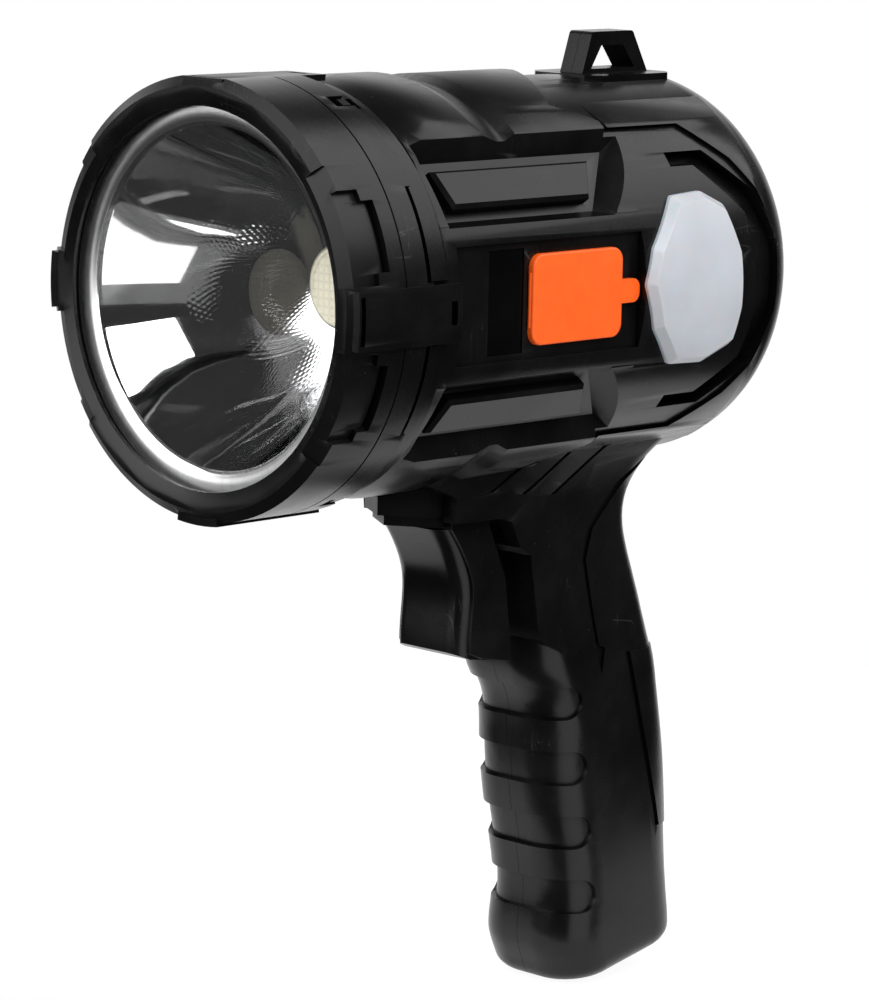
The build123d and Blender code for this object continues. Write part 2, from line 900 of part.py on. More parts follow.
def lamp_leds():
    top = well_floor_plane() + lamp_board_thickness
    middle = lamp_front + lamp_length / 2
    pitch = 0.62 * lamp_half
    found = []
    for row in range(lamp_led_rows):
        z = lamp_centre + (row - (lamp_led_rows - 1) / 2) * pitch
        for side in (-1, 1):
            y = middle + (0.10 + side * 0.12) * lamp_length
            half = lamp_led_size / 2
            found.append(block(top, top + lamp_led_height, y - half, y + half, z - half, z + half))
    return found


def panel_cut():
    front = panel_front
    rear = panel_front + panel_length
    return block(panel_plane, barrel_radius + 3 * overrun, front, rear, -panel_half, panel_half)


def pane_box(trim, x0, x1):
    front = window_pane_front + trim
    rear = window_pane_front + window_pane_length - trim
    half = window_pane_half - trim
    return block(x0, x1, front, rear, -half, half)


def pane():
    face = panel_plane - window_pane_sink
    body = pane_box(fit_gap / 2, face - window_pane_thickness, face)
    return chamfer(body.edges().filter_by(Axis.X), window_pane_sink)


def pane_seat_cut():
    seat = panel_plane - window_pane_sink - window_pane_thickness
    recess = pane_box(0, seat, panel_plane + overrun)
    opening = pane_box(window_ledge, 0, panel_plane)
    whole = block(board_face, 2 * panel_plane, 0, barrel_length, -barrel_radius, barrel_radius)
    return recess + opening & whole


def port_middle(share):
    return cover_front + cover_length * share


def port_cut():
    """Pocket for the cover's plug and the openings round both sockets."""
    floor = panel_plane - cover_plug_depth - part_gap
    pocket = block(
        floor, panel_plane + overrun, cover_front + cover_margin, cover_front + cover_length - cover_margin,
        -cover_half + cover_margin, cover_half - cover_margin)
    for share, half_width, half_height in (
            (output_share, output_half_width, output_half_height),
            (input_share, input_half_width, input_half_height)):
        tall = half_height + part_gap
        wide = half_width + part_gap
        middle = port_middle(share)
        pocket += block(board_face, floor + overrun, middle - tall, middle + tall, -wide, wide)
    return pocket


def socket(share, half_width, half_height):
    """Metal shell with its contact tongue, standing on the control board."""
    middle = port_middle(share)
    top = board_face + socket_height
    shell = block(board_face, top, middle - half_height, middle + half_height, -half_width, half_width)
    inner_height = half_height - socket_shell
    inner_width = half_width - socket_shell
    floor = board_face + 2 * socket_tongue
    low = middle - inner_height
    mouth = block(floor, top + overrun, low, middle + inner_height, -inner_width, inner_width)
    tongue_half = min(socket_tongue, inner_height) / 2
    tongue = block(
        floor - socket_tongue, top - socket_tongue, middle - tongue_half, middle + tongue_half,
        -inner_width * 0.8, inner_width * 0.8)
    return shell - mouth + tongue


def cover():
    base = panel_plane + part_gap / 3
    rear = cover_front + cover_length
    plate = block(base, base + cover_thickness, cover_front, rear, -cover_half, cover_half)
    plate = fillet(plate.edges().filter_by(Axis.X), cover_round)
    plate = fillet(plate.faces().sort_by(Axis.X)[-1].edges(), cover_thickness / 3)
    tab_top = base + cover_thickness * 0.8
    tab = block(base, tab_top, rear - cover_margin, rear + tab_length, -tab_half, tab_half)
    tab_edges = tab.edges().filter_by(Axis.X).sort_by(Axis.Y)[-2:]
    tab = fillet(tab_edges, tab_half * 0.8)
    margin = cover_margin + part_gap
    plug = block(
        base - cover_plug_depth, base + overrun / 4, cover_front + margin, rear - margin,
        -cover_half + margin, cover_half - margin)
    plug = chamfer(plug.faces().sort_by(Axis.X)[0].edges(), cover_plug_depth / 3)
    bead = Pos(base + hinge_bead / 2, cover_front + hinge_bead / 4, 0) * Cylinder(
        hinge_bead / 2, cover_half * 1.2)
    return plate + tab + plug + bead


def pane_lights():
    """Small charge lights on the control board behind the window."""
    found = []
    middle = window_pane_front + window_pane_length / 2
    pitch = 2 * (window_pane_half - window_ledge) / indicator_count
    half = indicator_size / 2
    for number in range(indicator_count):
        z = (number - (indicator_count - 1) / 2) * pitch
        chip = block(
            board_face, board_face + indicator_height, middle - half, middle + half, z - half, z + half)
        found.append(chip)
    return found


def board_corners():
    near = board_front + post_inset
    far = board_front + board_length - post_inset
    up = board_half - post_inset
    return [(near, up), (near, -up), (far, up), (far, -up)]


def control_board():
    body = block(board_back, board_face, board_front, board_front + board_length, -board_half, board_half)
    for y, z in board_corners():
        body -= cross_bar(small_shank_radius, board_back - overrun, board_face + overrun, y, z)
    return body


def board_parts():
    """Driver chip and choke on the inner side of the control board."""
    middle = board_front + board_length / 2
    half = chip_length / 2
    chip = block(board_back - chip_height, board_back, middle - half, middle + half, -half / 2, half / 2)
    choke = cross_bar(
        coil_radius, board_back - coil_height, board_back, middle + 1.2 * chip_length, 0.55 * board_half)
    return [chip, choke]


def board_screws():
    found = []
    for y, z in board_corners():
        turned_screw = Rot(0, 90, 0) * screw(
            small_head_radius, small_head_height, small_shank_radius, small_shank_length)
        found.append(Pos(board_back, y, z) * turned_screw)
    return found


def board_posts():
    """Posts from the left wall to the board, with their screw holes."""
    posts = []
    holes = []
    for y, z in board_corners():
        posts.append(cross_bar(post_radius, board_face, panel_plane - part_gap, y, z))
        hole_end = board_back + small_shank_length
        holes.append(cross_bar(small_shank_radius, board_face - overrun, hole_end, y, z))
    return posts, holes


def loop_block():
    """Lanyard loop: a trapezoid arch on a flat pad."""
    base = pad_top - overrun
    rear = loop_front + loop_length
    lean = loop_length * 0.155
    outer = side_prism(
        [(loop_front, base), (loop_front + lean, loop_top), (rear - 1.7 * lean, loop_top), (rear, base)],
        -loop_half, loop_half)
    sill = pad_top + 0.3 * loop_bar
    inner = side_prism(
        [(loop_front + loop_bar * 1.1, sill), (loop_front + lean + loop_bar, loop_top - loop_bar),
         (rear - 1.7 * lean - loop_bar, loop_top - loop_bar), (rear - loop_bar * 1.7, sill)],
        -loop_half - overrun, loop_half + overrun)
    edges = outer.edges().filter_by(Axis.X).sort_by(Axis.Z)[-2:]
    outer = fillet(edges, loop_bar / 3)
    return outer - inner


def loop_pad():
    front = loop_front - pad_margin
    rear = loop_front + loop_length + pad_margin / 3
    pad = block(-pad_half, pad_half, front, rear, cavity_radius, pad_top)
    sides = pad.edges().filter_by(Axis.Z)
    return chamfer(sides, pad_margin)


def hood():
    """Trigger hood under the barrel, flush with the neck behind it, and the nose in front."""
    plate = side_prism(hood_outline(), -grip_width, grip_width)
    body = plate & hood_plan(0)
    nose = prow(0, -nose_bottom, -cavity_radius)
    slant = nose_bottom - barrel_radius
    crest = nose_front + slant
    nose -= side_prism(
        [(nose_front - overrun, -nose_bottom + 0.5 * slant), (nose_front, -nose_bottom + 0.5 * slant),
         (crest, -barrel_radius), (crest, overrun - cavity_radius),
         (nose_front - overrun, overrun - cavity_radius)],
        -grip_width, grip_width)
    lip = prow(nose_lip, -nose_bottom - nose_lip_drop, overrun - nose_bottom)
    return body + nose + lip


# Side outline of the hood, as shares of the trigger's depth and height
hood_side_shares = (
    (-0.555, -0.538), (-0.555, -0.33), (0, -0.182), (0, 0), (0.70, 0), (0.81, 0.029), (0.895, 0.116),
    (0.99, 0.231), (1.155, 0.295), (1.32, 0.907), (1.67, 1.02), (1.95, 0.40), (1.95, -0.538),
)

# Rows of drop, as a share of the hood's, and half widths in front and at the neck, of the grip's width
hood_plan_shares = (
    (0.636, 0.46, 0.71), (0.76, 0.445, 0.632), (0.919, 0.415, 0.54), (1.078, 0.40, 0.495),
    (1.237, 0.395, 0.482), (1.643, 0.395, 0.492),
)


def hood_outline():
    return [(hood_front + a * trigger_depth, -hood_bottom - b * trigger_height) for a, b in hood_side_shares]


def hood_plan(inset):
    """Stack of plan outlines that widen from the nose back to the neck's own width."""
    start = hood_front - 0.6 * trigger_depth
    middle = hood_front + 1.04 * trigger_depth
    end = hood_front + 2 * trigger_depth
    faces = []
    for drop, near, far in hood_plan_shares:
        a = near * grip_width - inset
        b = far * grip_width - inset
        c = b - fit_gap
        corner = [(-a, start), (a, start), (b, middle), (c, end), (-c, end), (-b, middle)]
        outline = Polyline(*corner, close=True)
        faces.append(Pos(0, 0, -drop * hood_bottom) * make_face(outline))
    return loft(faces, ruled=True)


def prow(back, low, high):
    """Pointed block in front of the trigger, seen from below as a bow."""
    rear = hood_front + overrun
    side = nose_half - back / 4
    outline = [
        (0, nose_front + back), (side, nose_front + back + nose_sweep), (side, rear), (-side, rear),
        (-side, nose_front + back + nose_sweep),
    ]
    return extrude(Pos(0, 0, low) * make_face(Polyline(*outline, close=True)), high - low, dir=(0, 0, 1))


def slash_cuts():
    """Three slanted grooves on each side of the neck."""
    rise = slash_shares[0]
    cuts = []
    start_z = -hood_bottom + rise * grip_width
    for front_share, length_share in slash_shares[1:]:
        y = hood_front + front_share * grip_depth
        run = length_share * grip_depth
        end_z = start_z + 0.78 * run
        wide = slash_width * 1.3
        cuts.append([(y, start_z), (y + wide, start_z), (y + run + wide, end_z), (y + run, end_z)])
        start_z -= slash_width
    return cuts


slash_shares = (0.20, (0.20, 0.22), (0.43, 0.27), (0.66, 0.33))


def grip_points(shares):
    """Points of Y and Z from shares of the grip's depth and length."""
    return [(grip_front + a * grip_depth, -grip_top - b * grip_length) for a, b in shares]


# Crease between the neck's side and its rounded back, wide above and narrow below, and its end notch
neck_line_shares = (
    (0.78, 0.05), (0.45, 0.115), (0.26, 0.19), (0.235, 0.24), (0.30, 0.32), (0.355, 0.385), (0.362, 0.395),
    (0.40, 0.437), (0.428, 0.392), (0.378, 0.385), (0.325, 0.32), (0.262, 0.24), (0.305, 0.19), (0.51, 0.115),
    (0.86, 0.05),
)

# Groove in front of the raised strap round the grip's back, and the strap behind it
strap_line_shares = ((0.59, 0.405), (0.885, 0.713))


def strap_band(width):
    """Slanted band behind the strap's front line."""
    (top_y, top_z), (low_y, low_z) = grip_points(strap_line_shares)
    return [(top_y, top_z), (top_y + width, top_z), (low_y + width, low_z), (low_y, low_z)]


def scoop_outline(number):
    """Finger scoop seen from the side: open at the front, round at its end."""
    middle = -(scoop_first + number * scoop_pitch)
    lean = math.tan(math.radians(grip_rake))
    front = grip_front - 0.4 * grip_depth
    end = grip_front + scoop_reach + (scoop_first + number * scoop_pitch - scoop_first) * lean
    top = middle + scoop_half
    bottom = middle - scoop_half
    box = side_prism([(front, bottom), (end - scoop_half, bottom), (end - scoop_half, top), (front, top)],
                     -grip_width, grip_width)
    cap = cross_bar(scoop_half, -grip_width, grip_width, end - scoop_half, middle)
    return box + cap


def grip_outer():
    body = grip_form(0) - foot_plane_cut(0)
    edges = body.faces().sort_by(Axis.Z)[0].edges()
    body = fillet(edges, grip_foot_round)
    scoops = [scoop_outline(number) for number in range(scoop_count)]
    scoop_floor = grip_form(scoop_depth)
    for scoop in scoops:
        body -= scoop - scoop_floor
    strap = grip_form(-strap_rise) & side_prism(strap_band(2 * grip_depth), -grip_width, grip_width)
    body += strap
    line_floor = grip_form(line_depth)
    for outline in (grip_points(neck_line_shares), strap_band(strap_groove)):
        body -= side_prism(outline, -grip_width, grip_width) - line_floor
    return body


def outer_form():
    """Outside of both housing halves as one solid."""
    barrel = round_bar(barrel_radius, housing_front, barrel_length)
    rear = barrel.edges().filter_by(GeomType.CIRCLE).sort_by(Axis.Y)[-1]
    body = fillet(rear, dome_radius)
    roof = top_zone()
    body = body + roof + mirror(roof, Plane.XY) + ridge()
    body = body + collar() + spigot() + loop_pad()
    for shape in both_ways(trough_cut()):
        body -= shape
        body -= mirrored(shape)
    for shape in (channel_cut(), panel_cut()):
        body -= shape
        body -= mirrored(shape)
    body = body + hood() + grip_outer() + loop_block()
    slash_floor = hood_side_floor()
    for outline in slash_cuts():
        body -= side_prism(outline, -grip_width, grip_width) - slash_floor
    return body


def hood_side_floor():
    """Inner limit of the slanted grooves."""
    return hood_plan(slash_depth) + grip_form(slash_depth)


def cavity():
    """Hollow inside of the housing."""
    mouth_end = spigot_front + spigot_depth
    front = round_bar(spigot_bore, spigot_front - overrun, mouth_end)
    front += round_bar(cavity_radius, mouth_end - overrun, bulkhead_front)
    rear_end = barrel_length - barrel_wall
    rear = round_bar(cavity_radius, bulkhead_front + bulkhead_thickness, rear_end)
    edge = rear.edges().filter_by(GeomType.CIRCLE).sort_by(Axis.Y)[-1]
    rear = fillet(edge, dome_radius - barrel_wall)
    bulkhead_rear = bulkhead_front + bulkhead_thickness
    hole = round_bar(sink_radius - sink_ledge, bulkhead_front - overrun, bulkhead_rear + overrun)
    neck = grip_form(grip_wall) - foot_plane_cut(grip_wall)
    above = block(
        -grip_width, grip_width, 0, barrel_length, -cavity_radius * 0.8, barrel_radius)
    return front + rear + hole + (neck - above)


def trigger_well():
    """Slot in which the trigger swings."""
    half = trigger_half + trigger_step + part_gap
    rear = grip_front + grip_depth * (-0.25) + grip_wall
    end = rear - grip_wall - part_gap
    return block(-half, half, well_front, end, -hood_bottom - 4 * overrun, -well_top)


def stem_window():
    half = stem_half + part_gap + overrun / 2
    low = -stem_drop - 2 * stem_half
    high = -stem_drop + 3 * stem_half
    return block(-half, half, pivot_y + hub_radius, switch_front - part_gap, low, high)


def switch_ribs():
    """Ribs in the neck that locate the switch above and below."""
    front = switch_front
    rear = switch_front + switch_depth
    low = -switch_top - switch_length
    found = []
    for z0, z1 in ((-switch_top, -switch_top + switch_rib), (low - switch_rib, low)):
        found.append(block(-grip_width, grip_width, front, rear - overrun, z0 , z1))
    return found


def tray_place():
    return Pos(0, tray_centre_y, -tray_centre_drop) * Rot(tray_rake, 0, 0)


def tray_half_length():
    inside = cell_length + cell_cap_height + coil_space + 2 * contact_thickness
    return inside / 2 + tray_end


def tray_ribs():
    """Cross ribs in the grip that hold the tray."""
    found = []
    reach = tray_half_length()
    for share in (-0.7, 0.0, 0.7):
        rib = Pos(0, 0, share * reach) * Box(2 * grip_width, 2 * grip_width, tray_end)
        hole = Pos(0, 0, share * reach) * Cylinder(tray_radius() + fit_gap, 2 * tray_end)
        gap = Pos(0, -tray_radius(), share * reach) * Box(
            2 * grip_width, 1.4 * tray_radius(), 2 * tray_end)
        found.append(tray_place() * (rib - hole - gap))
    return found


def tray_radius():
    return cell_radius + part_gap + tray_wall


def housing():
    """Both halves: outer form, hollow, bosses, ribs and every seat in them."""
    inner = cavity()
    body = outer_form() - inner
    solids = [lamp_well_block()]
    posts, post_holes = board_posts()
    solids.extend(posts)
    for y, z in case_places:
        solids.append(cross_bar(case_boss_radius, -barrel_radius, barrel_radius, y, z))
    solids.extend(tray_ribs())
    solids.extend(switch_ribs())
    for solid in solids:
        body += solid & inner
    body -= trigger_well()
    body -= stem_window()
    for cut in (lamp_well_cut(), pane_seat_cut(), port_cut()):
        body -= cut
    for hole in post_holes:
        body -= hole
    body -= lamp_wire_cut()
    body -= led_wire_cut()
    body -= pin_seat_cut()
    sink_hole = screw_hole(sink_screw_radius(), bulkhead_front, small_shank_length - sink_plate)
    for cut in around(sink_hole, 4, sink_screw_angle):
        body -= cut
    for y, z in case_places:
        body -= cross_bar(case_head_radius + part_gap, -housing_reach, -case_seat, y, z)
        body -= cross_bar(case_shank_radius, -case_seat - overrun, case_shank_length - case_seat, y, z)
    half = housing_reach
    left = body - block(-half, seam_gap / 2, -half, half, -half, half)
    right = body - block(-seam_gap / 2, half, -half, half, -half, half)
    return left, right


def case_screws():
    turned_screw = Rot(0, 90, 0) * screw(
        case_head_radius, case_head_height, case_shank_radius, case_shank_length)
    return [Pos(-case_seat, y, z) * turned_screw for y, z in case_places]


def pin_seat_reach():
    return trigger_half + trigger_step + part_gap + pin_seat


def pin_seat_cut():
    reach = pin_seat_reach() + fit_gap
    return cross_bar(pin_radius, -reach, reach, pivot_y, -pivot_drop)


def pin():
    reach = pin_seat_reach()
    return cross_bar(pin_radius, -reach, reach, pivot_y, -pivot_drop)


# Trigger outline from its upper front, as shares of its depth and height
trigger_front_shares = ((0.0, 0.01), (0.22, 0.22), (0.34, 0.42), (0.345, 0.62), (0.32, 0.90))
trigger_rear_shares = (
    (1.08, 1.0), (1.11, 0.92), (1.0, 0.40), (0.72, 0.0), (0.70, -0.14), (0.13, -0.14), (0.13, 0.01),
)


def trigger_point(share):
    return (trigger_front + share[0] * trigger_depth, -trigger_top - share[1] * trigger_height)


def trigger_side(shift):
    """Side outline of the trigger as a face, with its front moved back by a shift."""
    front = [trigger_point(share) for share in trigger_front_shares]
    front = [(y + shift, z) for y, z in front]
    rear = [trigger_point(share) for share in trigger_rear_shares]
    curve = Plane.YZ * Spline(*front)
    toe = (front[-1][0] + trigger_round, -trigger_top - 0.95 * trigger_height)
    rest = Plane.YZ * Polyline(front[-1], toe, *rear, front[0])
    return make_face([curve, rest])


def trigger():
    pad = Pos(-trigger_half, 0, 0) * extrude(trigger_side(0), 2 * trigger_half, dir=(1, 0, 0))
    front_faces = pad.faces().filter_by(GeomType.PLANE, reverse=True)
    side_edges = front_faces[0].edges().filter_by(lambda e: abs(e.center().X) > trigger_half / 2)
    pad = fillet(side_edges, trigger_round)
    wide = trigger_half + trigger_step
    shift = trigger_setback
    sides = Pos(-wide, 0, 0) * extrude(trigger_side(shift), 2 * wide, dir=(1, 0, 0))
    arm = side_prism(
        [trigger_point((0.30, 0.0)), (pivot_y - hub_radius, -pivot_drop),
         (pivot_y + hub_radius, -pivot_drop), trigger_point((0.70, 0.0))],
        -trigger_half, trigger_half)
    hub = cross_bar(hub_radius, -trigger_half, trigger_half, pivot_y, -pivot_drop)
    body = pad + sides + arm + hub
    rear = trigger_front + trigger_depth
    stem = block(
        -stem_half, stem_half, rear - 0.25 * trigger_depth, switch_front - plunger_length - part_gap,
        -stem_drop - stem_half, -stem_drop + stem_half)
    body += stem
    body -= cross_bar(pin_radius + part_gap / 2, -2 * trigger_half, 2 * trigger_half, pivot_y, -pivot_drop)
    bore = round_bar(
        spring_radius + spring_wire + part_gap, spring_seat_front(), rear + overrun, 0, -spring_drop)
    return body - bore


def spring_seat_front():
    return trigger_front + trigger_depth * 0.8 - spring_seat


def neck_face():
    """Front of the neck behind the trigger."""
    return grip_front + grip_depth * (-0.25) - part_gap


def trigger_spring():
    front = spring_seat_front() + spring_wire
    rear = neck_face() - spring_wire
    coil = helix_spring(spring_radius, spring_wire / 2, rear - front, spring_turns)
    return Pos(0, front, -spring_drop) * Rot(-90, 0, 0) * coil


def switch_body():
    front = switch_front
    rear = switch_front + switch_depth
    low = -switch_top - switch_length
    half = switch_width / 2
    body = block(-half, half, front, rear, low, -switch_top)
    body = chamfer(body.edges().filter_by(Axis.X), switch_rib / 4)
    body -= round_bar(plunger_radius + fit_gap, front - overrun, front + plunger_length, 0, -stem_drop)
    return body


def plunger():
    tip = switch_front - plunger_length
    return round_bar(plunger_radius, tip, switch_front + fit_gap, 0, -stem_drop)


def cell():
    half = cell_length / 2
    body = Cylinder(cell_radius, cell_length)
    body = chamfer(body.edges().filter_by(GeomType.CIRCLE), cell_radius / 12)
    cap = Pos(0, 0, half + cell_cap_height / 2) * Cylinder(cell_cap_radius, cell_cap_height)
    return tray_place() * Pos(0, 0, cell_shift()) * (body + cap)


def cell_shift():
    """The cell sits above the tray's middle because the coil is below it."""
    return (coil_space - cell_cap_height) / 2


def tray():
    reach = tray_half_length()
    outer = Cylinder(tray_radius(), 2 * reach)
    inner = Cylinder(cell_radius + part_gap, 2 * (reach - tray_end))
    mouth = Pos(-tray_radius(), 0, 0) * Box(1.3 * tray_radius(), 3 * tray_radius(), 2 * (reach - tray_end))
    return tray_place() * (outer - inner - mouth)


def plate_contact():
    top = tray_half_length() - tray_end
    plate = Pos(0, 0, top - contact_thickness / 2) * Cylinder(cell_radius * 0.7, contact_thickness)
    return tray_place() * plate


def coil_contact():
    bottom = -tray_half_length() + tray_end
    plate = Pos(0, 0, bottom + contact_thickness / 2) * Cylinder(cell_radius * 0.8, contact_thickness)
    rise = coil_space - coil_wire
    coil = helix_spring(contact_coil_radius, coil_wire / 2, rise, coil_turns)
    coil = Pos(0, 0, bottom + contact_thickness + coil_wire / 2 - fit_gap) * coil
    return tray_place() * (plate + coil)


def lamp_wire_cut():
    middle = lamp_front + lamp_length * 0.45
    return cross_bar(lamp_wire_hole, board_face, well_floor_plane() + overrun, middle, lamp_centre)


def led_wire_cut():
    half = 5 * wire_radius + 2 * lamp_wire_hole
    return block(
        board_back - lamp_wire_hole, board_face + lamp_wire_hole, bulkhead_front - overrun,
        bulkhead_front + bulkhead_thickness + overrun, -half, half)


def led_wires():
    """Two leads from the emitter's board round the heat sink to the control board."""
    found = []
    edge = board_back + board_thickness / 2
    turn = led_board_front - 2 * wire_bend * 0.6
    start = led_board_radius - 2 * wire_radius
    for z in (-3 * wire_radius, 3 * wire_radius):
        points = [
            (start, led_board_front, z), (start, turn, z), (edge, turn, z), (edge, board_front, z),
        ]
        found.append(tube(points, wire_radius, wire_bend * 0.6))
    return found


def lamp_wires():
    """Two leads from the side lamp's board to the rear edge of the control board."""
    found = []
    edge = board_back + board_thickness / 2
    middle = lamp_front + lamp_length * 0.45
    rear = board_front + board_length
    for z in (lamp_centre - 1.6 * wire_radius, lamp_centre + 1.6 * wire_radius):
        points = [(well_floor_plane(), middle, z), (edge, middle, z), (edge, rear, z)]
        found.append(tube(points, wire_radius, wire_bend))
    return found


def neck_lane():
    return grip_front + 0.27 * grip_depth


def switch_wires():
    """Two leads from the switch up the neck to the control board."""
    found = []
    rear = switch_front + switch_depth
    lane = neck_lane() + 2 * wire_radius
    low = -0.75 * cavity_radius
    end_y = board_front + 0.82 * board_length
    for number, share in enumerate((0.2, 0.8)):
        x = (number - 0.5) * 5 * wire_radius
        z = -switch_top - share * switch_length
        end_z = -0.28 * board_half - number * 4 * wire_radius
        points = [
            (x, rear, z), (x, lane, z), (x, lane, low), (0.55 * board_back, end_y, end_z),
            (board_back, end_y, end_z),
        ]
        found.append(tube(points, wire_radius, wire_bend * 0.8))
    return found


def cell_wires():
    """Leads from both contacts along the tray and up the neck to the control board."""
    lane = neck_lane()
    low = -0.7 * cavity_radius
    end_y = board_front + 0.78 * board_length
    reach = tray_half_length()
    top = (tray_place() * Pos(0, 0, reach)).position
    found = []
    side = 0.55 * cell_radius
    start = (tray_place() * Pos(side, 0, reach)).position
    rise = (tray_place() * Pos(side, 0, reach + 3 * wire_bend)).position
    end_z = -0.62 * board_half
    found.append(tube(
        [(start.X, start.Y, start.Z), (rise.X, rise.Y, rise.Z), (side, lane, low),
         (0.6 * board_back, end_y, end_z), (board_back, end_y, end_z)],
        wire_radius, wire_bend))
    wide = tray_radius() * 0.89
    ahead = -tray_radius() * 0.82
    foot = (tray_place() * Pos(wide, ahead, -reach + tray_end)).position
    shoulder = (tray_place() * Pos(wide, ahead, reach + 2 * wire_bend)).position
    entry = (tray_place() * Pos(cell_radius * 0.72, ahead * 0.75, -reach + tray_end)).position
    end_z = -0.85 * board_half
    found.append(tube(
        [(foot.X, foot.Y, foot.Z), (shoulder.X, shoulder.Y, shoulder.Z), (wide, lane, low),
         (0.7 * board_back, end_y, end_z), (board_back, end_y, end_z)],
        wire_radius, wire_bend))
    return found


def save(name, shapes):
    """Place a piece about the hand grip and write it under its name."""
    if not isinstance(shapes, list):
        shapes = [shapes]
    grip_middle_y = tray_centre_y + cell_radius / 4
    place = Pos(0, -grip_middle_y, tray_centre_drop)
    solids = []
    for shape in shapes:
        solids.extend((place * shape).solids())
    piece = Compound(children=solids) if len(solids) > 1 else solids[0]
    piece.label = name
    export_step(piece, "parts/" + name + ".step")


def sink_screws():
    return around(flat_screw(sink_screw_radius(), sink_front), 4, sink_screw_angle)


def led_screws():
    return around(flat_screw(led_screw_radius(), led_board_front), 4, led_screw_angle)


def build():
    os.makedirs("parts", exist_ok=True)
    left, right = housing()
    save("housing_left", left)
    save("housing_right", right)
    save("housing_screws", case_screws())
    save("bezel_ring", bezel())
    save("front_lens", lens())
    save("lens_gasket", gasket())
    save("reflector", reflector())
    save("led_emitter", emitter())
    save("led_board", led_board())
    save("led_board_screws", led_screws())
    save("heat_sink", heat_sink())
    save("heat_sink_screws", sink_screws())
    save("side_lamp_diffuser", lamp_diffuser())
    save("side_lamp_board", lamp_board())
    save("side_lamp_leds", lamp_leds())
    save("usb_cover", cover())
    save("indicator_window", pane())
    save("charge_leds", pane_lights())
    save("control_board", control_board())
    save("control_board_parts", board_parts())
    save("control_board_screws", board_screws())
    save("usb_output_socket", socket(output_share, output_half_width, output_half_height))
    save("usb_input_socket", socket(input_share, input_half_width, input_half_height))
    save("trigger", trigger())
    save("trigger_pin", pin())
    save("trigger_spring", trigger_spring())
    save("switch_body", switch_body())
    save("switch_plunger", plunger())
    save("battery_cell", cell())
    save("battery_tray", tray())
    save("battery_plate_contact", plate_contact())
    save("battery_coil_contact", coil_contact())
    save("battery_wires", cell_wires())
    save("led_wires", led_wires())
    save("switch_wires", switch_wires())
    save("side_lamp_wires", lamp_wires())


build()
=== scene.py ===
import math

import bmesh
import bpy
import numpy as np
from bpy.props import FloatProperty, FloatVectorProperty, IntProperty, PointerProperty
from mathutils import Matrix, Vector


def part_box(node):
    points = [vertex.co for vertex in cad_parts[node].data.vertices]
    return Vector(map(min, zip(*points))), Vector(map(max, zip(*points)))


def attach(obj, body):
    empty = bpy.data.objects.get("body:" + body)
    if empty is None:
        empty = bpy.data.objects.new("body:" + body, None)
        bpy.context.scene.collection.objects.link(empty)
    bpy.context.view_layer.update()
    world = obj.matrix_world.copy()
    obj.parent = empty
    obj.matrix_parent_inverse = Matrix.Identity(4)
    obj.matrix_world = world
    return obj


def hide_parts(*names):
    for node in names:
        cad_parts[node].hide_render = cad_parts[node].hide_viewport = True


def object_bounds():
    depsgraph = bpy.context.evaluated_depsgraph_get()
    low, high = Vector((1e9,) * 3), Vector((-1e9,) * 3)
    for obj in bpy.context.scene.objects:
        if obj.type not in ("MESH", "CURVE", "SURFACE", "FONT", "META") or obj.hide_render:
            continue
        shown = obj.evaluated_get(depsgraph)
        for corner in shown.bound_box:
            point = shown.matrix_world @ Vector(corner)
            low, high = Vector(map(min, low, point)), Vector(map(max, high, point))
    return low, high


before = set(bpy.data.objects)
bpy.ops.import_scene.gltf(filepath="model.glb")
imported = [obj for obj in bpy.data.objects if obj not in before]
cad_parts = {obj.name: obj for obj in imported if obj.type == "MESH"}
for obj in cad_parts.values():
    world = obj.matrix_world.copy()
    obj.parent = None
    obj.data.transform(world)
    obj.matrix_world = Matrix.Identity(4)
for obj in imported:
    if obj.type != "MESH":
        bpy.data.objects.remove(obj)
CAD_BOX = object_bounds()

bl_info = {
    "name": "Handheld Searchlight",
    "version": (1, 0, 0),
    "blender": (4, 5, 0),
    "location": "View3D > Sidebar > Searchlight",
    "description": "Finishes, optics, stage and lights of the pistol-grip searchlight",
    "category": "Add Mesh",
}

LENS_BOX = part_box("front_lens")
AXIS_Z = (LENS_BOX[0][2] + LENS_BOX[1][2]) / 2
FRONT_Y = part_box("bezel_ring")[0][1]

SHARP_ANGLE = math.radians(28.0)
FLAT_ANGLE = math.radians(0.6)
WELD_REACH = 2e-6
CAP_ROUND = 0.0011
COVER_ROUND = 0.0003
TRIGGER_ROUND = 0.0004

MIRROR_POINTS = 40
DIMPLE_POINTS = 5
FLANGE_POINTS = 12
FLANGE_CROWN = 0.0008
OUTSIDE_STEP = 6
EMITTER_RIM = 0.0012
EMITTER_SEGMENTS = 96
COIL_POINTS = 26
COIL_SIDES = 12
BATTERY_WIRE_MIDDLE = 0.0066

PLASTIC_GRAIN = 2600.0
RUBBER_GRAIN = 1700.0
RECESS_REACH = 0.004
DUST = (0.3, 0.29, 0.27, 1)
SCRATCH = (0.35, 0.34, 0.33, 1)
# Near black painted into recesses and slots as painted shade.
PAINTED_RECESS_SHADE = (0.0006, 0.0006, 0.0006, 1)
MIRROR_PALE = (0.93, 0.93, 0.935, 1)
MIRROR_DIM = (0.84, 0.845, 0.85, 1)


